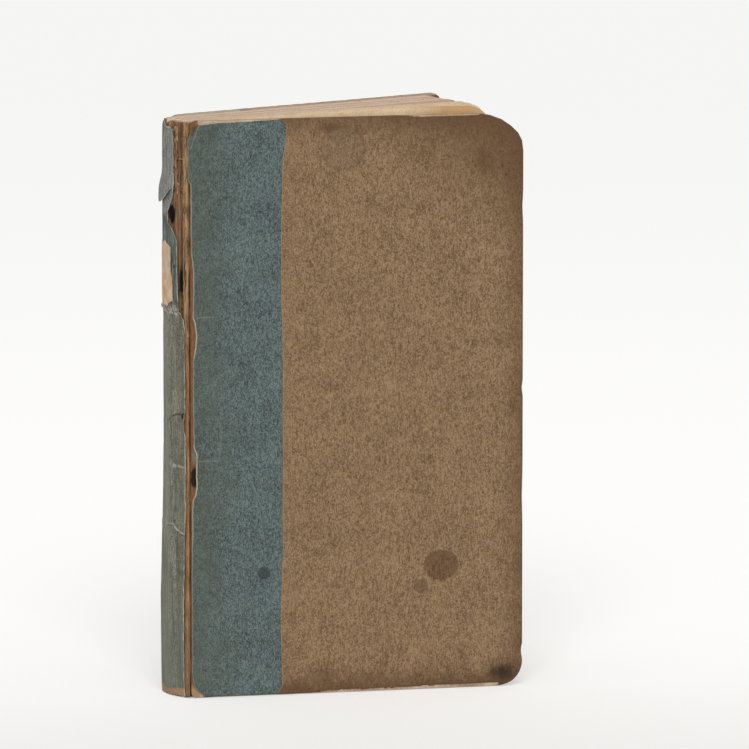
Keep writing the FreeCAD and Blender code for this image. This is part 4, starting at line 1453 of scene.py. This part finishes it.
def makeSpinePatch(name, paint, nodes, s):
    # a small torn piece on the spine, from one height to another and one side to the other
    columns, rows = s["grid"]
    bm = newSheet(columns, rows)
    lay, torn, rim, rub, *_ = layers(bm)
    for v in bm.verts:
        u, t = v.co.x, v.co.y
        middle = lerp(s["left"][0][1], s["right"][0][1], u)
        low = along(s["low"], middle) + s["rough"] * ragged(middle, s["seed"], 0.9, 3.0)
        high = along(s["high"], middle) + s["rough"] * ragged(middle, s["seed"] + 1, 0.9, 3.0)
        z = lerp(low, high, t)
        left = along(s["left"], z) + 0.5 * s["rough"] * ragged(z, s["seed"] + 2, 0.6, 2.0)
        right = along(s["right"], z)
        y = lerp(left, right, u)
        off = s["off"] + s["lift"](u, t) + 0.05 * ripple(y * 0.8, s["seed"], z * 0.5)
        v.co = backPoint(y, z, off)
        v[lay] = (aroundSpine(y), 0, z)
        v[torn] = min((y - left), (high - z) if s["tornHigh"] else 9, (z - low) if s["tornLow"] else 9) + 0.02
        v[rim] = 9.0
        v[rub] = -3.0
    gone = [
        f
        for f in bm.faces if s["gaps"] and ripple(
            f.calc_center_median().y * 1.1, s["seed"], f.calc_center_median().z * 0.5,
        ) > s["gaps"]
    ]
    bmesh.ops.delete(bm, geom=gone, context="FACES")
    bmesh.ops.reverse_faces(bm, faces=bm.faces)
    return finishPiece(name, bm, paint, nodes, stay, s["thick"], 0.0, "text_block")


labelSettings = {
    "grid": (
        26, 80,
    ), "thick": 0.08, "off": 0.42, "rough": 0.5, "seed": 31, "tornHigh": True, "tornLow": True, "gaps": 0,
    "low": [(-1.0, 123.6), (1.4, 121.6), (3.4, 122.2), (6.0, 121.8)],
    "high": [(-1.6, 140.4), (1.6, 142.2), (3.4, 141.2), (6.0, 142.0)],
    "left": [(121.0, -2.2), (127.4, -2.0), (130.6, -1.7), (132.4, -1.2), (137.0, -1.1), (141.0, -1.2), (143.0, -0.2)],
    "right": [(121.0, 6.2), (147.0, 6.2)],
    "lift": lambda u, t: 0.10 * smooth(0.12, 0.0, u),
}
flapSettings = {
    "grid": (
        34, 44,
    ), "thick": 0.16, "off": 0.24, "rough": 0.35, "seed": 41, "tornHigh": False, "tornLow": True, "gaps": 0,
    "low": [(-2.4, 159.4), (-0.8, 157.8), (0.6, 156.2), (2.4, 154.7), (4.2, 154.0), (5.6, 154.9), (7.0, 157.5)],
    "high": [(-3.0, 165.0), (7.0, 165.0)],
    "left": [(154.0, -2.6), (160.0, -2.8), (165.0, -2.6)],
    "right": [(154.0, 7.0), (165.0, 7.0)],
    "lift": lambda u, t: 1.15 * smooth(1.0, 0.0, t) ** 1.3 * smooth(-0.2, 0.5, u),
}
fringeSettings = {
    "grid": (
        80, 14,
    ), "thick": 0.12, "off": 0.3, "rough": 0.9, "seed": 61, "tornHigh": True, "tornLow": False, "gaps": 0.06,
    "low": [(-6.0, 119.4), (-2.0, 119.6), (6.4, 120.0)],
    "high": [(-6.0, 120.2), (-3.0, 121.6), (0.0, 120.9), (3.0, 121.6), (6.4, 121.4)],
    "left": [(118.0, -6.0), (123.0, -5.2)],
    "right": [(118.0, 6.6), (123.0, 6.6)],
    "lift": lambda u, t: 0.42 * t**2 * (0.6 + 0.4 * math.sin(u * 23.0)),
}
liningSettings = {
    "grid": (
        24, 90,
    ), "thick": 0.08, "off": 0.0, "rough": 0.3, "seed": 71, "tornHigh": True, "tornLow": True, "gaps": 0.2,
    "low": [(-4.3, 157.0), (-1.0, 159.0)],
    "high": [(-4.3, 178.0), (-1.0, 177.6)],
    "left": [(157.0, -4.2), (180.0, -4.1)],
    "right": [(157.0, -1.0), (180.0, -1.0)],
    "lift": lambda u, t: 0.12 * math.sin(u * 19.0) + 0.05 * math.sin(t * 30.0 + u * 7.0),
}

makeSpinePaper()
makeSpinePatch("spineLabel", "label", ["spine_label"], labelSettings)
makeSpinePatch("spineFlap", "spine", ["spine_paper"], flapSettings)
makeSpinePatch("spineFringe", "frayed", ["spine_paper"], fringeSettings)
makeSpinePatch("spineLining", "joint", ["text_block"], liningSettings)
print("spine made")


# Sewing: four hemp cords laced on to the boards, and the kettle stitches

cordSettings = {
    "radius": 1.0,
    "strand": 0.52,
    "twist": 3.4,
    "path": 17.1,
    "slip": 18.0,
    "strands": 7,
    "fan": 3.6,
}


def sweepStrand(whole, points, radius, sides=6):
    # a round strand along a chain of points, as a ring extruded from point to point
    bm = bmesh.new()
    lay, *_ = layers(bm)
    ring = bmesh.ops.create_circle(bm, segments=sides, radius=radius, cap_ends=False)["verts"]
    first = [v.co.copy() for v in ring]
    edges = bm.edges[:]
    for i, p in enumerate(points):
        ahead = (points[min(i + 1, len(points) - 1)] - points[max(i - 1, 0)]).normalized()
        turn = ahead.to_track_quat("Z", "Y")
        if i:
            out = bmesh.ops.extrude_edge_only(bm, edges=edges)["geom"]
            ring = [g for g in out if isinstance(g, bmesh.types.BMVert)]
            edges = [g for g in out if isinstance(g, bmesh.types.BMEdge)]
            ring = sorted(ring, key=lambda v: v.index)
        for k, v in enumerate(ring):
            v.co = p + turn @ first[k]
            v[lay] = (i * 0.3, k * 0.4, p.z)
    for end in (edges, [e for e in bm.edges if e.is_boundary and e not in edges]):
        bmesh.ops.holes_fill(bm, edges=end, sides=0)
    bmesh.ops.recalc_face_normals(bm, faces=bm.faces)
    pour(bm, whole)


def makeCord(name, z, front):
    s = cordSettings
    side = -1 if front else 1
    place = places[front]
    centre = book["spineCentre"]
    last = math.asin(6.2 / (s["path"] + s["radius"]))
    track = []
    for i in range(15):
        a = last * i / 14
        track.append(Vector((centre - s["path"] * math.cos(a), side * s["path"] * math.sin(a), z)))
    for x, y in ((0.9, 0.95), (1.6, 0.62), (2.6, 0.34)):
        track.append(place @ Vector((x, y, z)))
    whole = newWhole()
    length = 0.0
    strands = [], []
    for i, p in enumerate(track):
        ahead = (track[min(i + 1, len(track) - 1)] - track[max(i - 1, 0)]).normalized()
        turn = ahead.to_track_quat("Z", "Y")
        length += (p - track[i - 1]).length if i else 0
        tight = 1.0 if i < len(track) - 3 else 0.55
        for k in range(2):
            a = math.tau * (length / s["twist"] + k / 2)
            strands[k].append(p + turn @ Vector((math.cos(a), math.sin(a), 0)) * (s["radius"] - s["strand"]) * tight)
    for strand in strands:
        fine = []
        for a, b in zip(strand, strand[1:]):
            fine += [a, a.lerp(b, 0.5)]
        sweepStrand(whole, fine + [strand[-1]], s["strand"] * 0.9, 7)
    for k in range(s["strands"]):
        t = k / (s["strands"] - 1) * 2 - 1
        fan = []
        for i in range(9):
            q = i / 8
            x = lerp(2.4, s["slip"] + 1.4 * ragged(k * 3.0, z), q)
            fan.append(
                place @ Vector(
                    (
                        x, 0.24 + 0.05 * math.sin(3 * q + k),
                        z + t * lerp(0.5, s["fan"], q**1.4) + 0.12 * ragged(x + k * 9, z),
                    )
                )
            )
        sweepStrand(whole, fan, 0.15, 5)
    cover = covers[front]
    bend = ("text_block", cover, (hingeX, side * 6.4, 0), (hingeX, side * 7.4, 0))
    return finishPiece(name, whole, "cord", ["sewing_cord_" + name.split("_")[1]], stay, bend=bend)


def makeStitch(name, z):
    whole = newWhole()
    centre, radius = book["spineCentre"], book["spineRadius"] - 0.4
    for k in range(2):
        points = []
        for i in range(61):
            a = math.asin(6.2 / 18.2) * (i / 30 - 1)
            link = math.tau * (i / 5.45 + k / 2)
            r = radius + 0.12 * math.cos(link)
            points.append(Vector((centre - r * math.cos(a), r * math.sin(a), z + 0.14 * math.sin(link))))
        sweepStrand(whole, points, 0.14, 5)
    return finishPiece(
        "kettleStitch_" + name, whole, "thread", ["kettle_stitch_" + name], stay, body="text_block",
    )


frayedSettings = {
    "loops": [  # y, z, size, turns, tilt
        (-2.9, 121.9, 0.75, 1.1, 0.3), (-1.0, 121.2, 0.5, 1.3, 1.2), (1.4, 121.4, 0.6, 0.9, 2.2),
        (3.6, 121.6, 0.55, 1.2, 0.8),
        (4.9, 121.3, 0.4, 1.4, 2.9), (-4.4, 121.0, 0.5, 0.8, 1.9), (0.2, 120.4, 0.8, 0.6, 0.1),
        (2.4, 120.5, 0.7, 0.7, 2.6),
        (-2.4, 176.6, 0.6, 1.0, 0.4), (-0.9, 177.2, 0.5, 0.9, 1.6), (-1.6, 176.0, 0.4, 1.2, 2.4),
        (-5.0, 160.2, 0.35, 0.9, 1.1),
    ],
    "radius": 0.085,
}


def makeFrayedFibres(s):
    whole = newWhole()
    for k, (y, z, size, turns, tilt) in enumerate(s["loops"]):
        points = []
        for i in range(19):
            a = tilt + math.tau * turns * i / 18
            wide = size * (1 + 0.25 * ripple(k * 3.0, i * 0.2, 0))
            off = 0.5 + 0.3 * unit(math.sin(a * 0.7 + k))
            points.append(backPoint(y + wide * math.cos(a), z + 0.7 * wide * math.sin(a) + i * 0.03, off))
        sweepStrand(whole, points, s["radius"] * (0.8 + 0.4 * swell(k * 5.0, 1, 1)), 5)
    return finishPiece("frayedFibres", whole, "frayed", ["spine_paper"], stay, body="text_block")


makeFrayedFibres(frayedSettings)
for cordName, cordHeight in book["cords"].items():
    makeCord("frontCord_" + cordName, cordHeight, True)
    makeCord("rearCord_" + cordName, cordHeight, False)
for stitchName, stitchHeight in book["stitches"].items():
    makeStitch(stitchName, stitchHeight)
print("cords and stitches made")
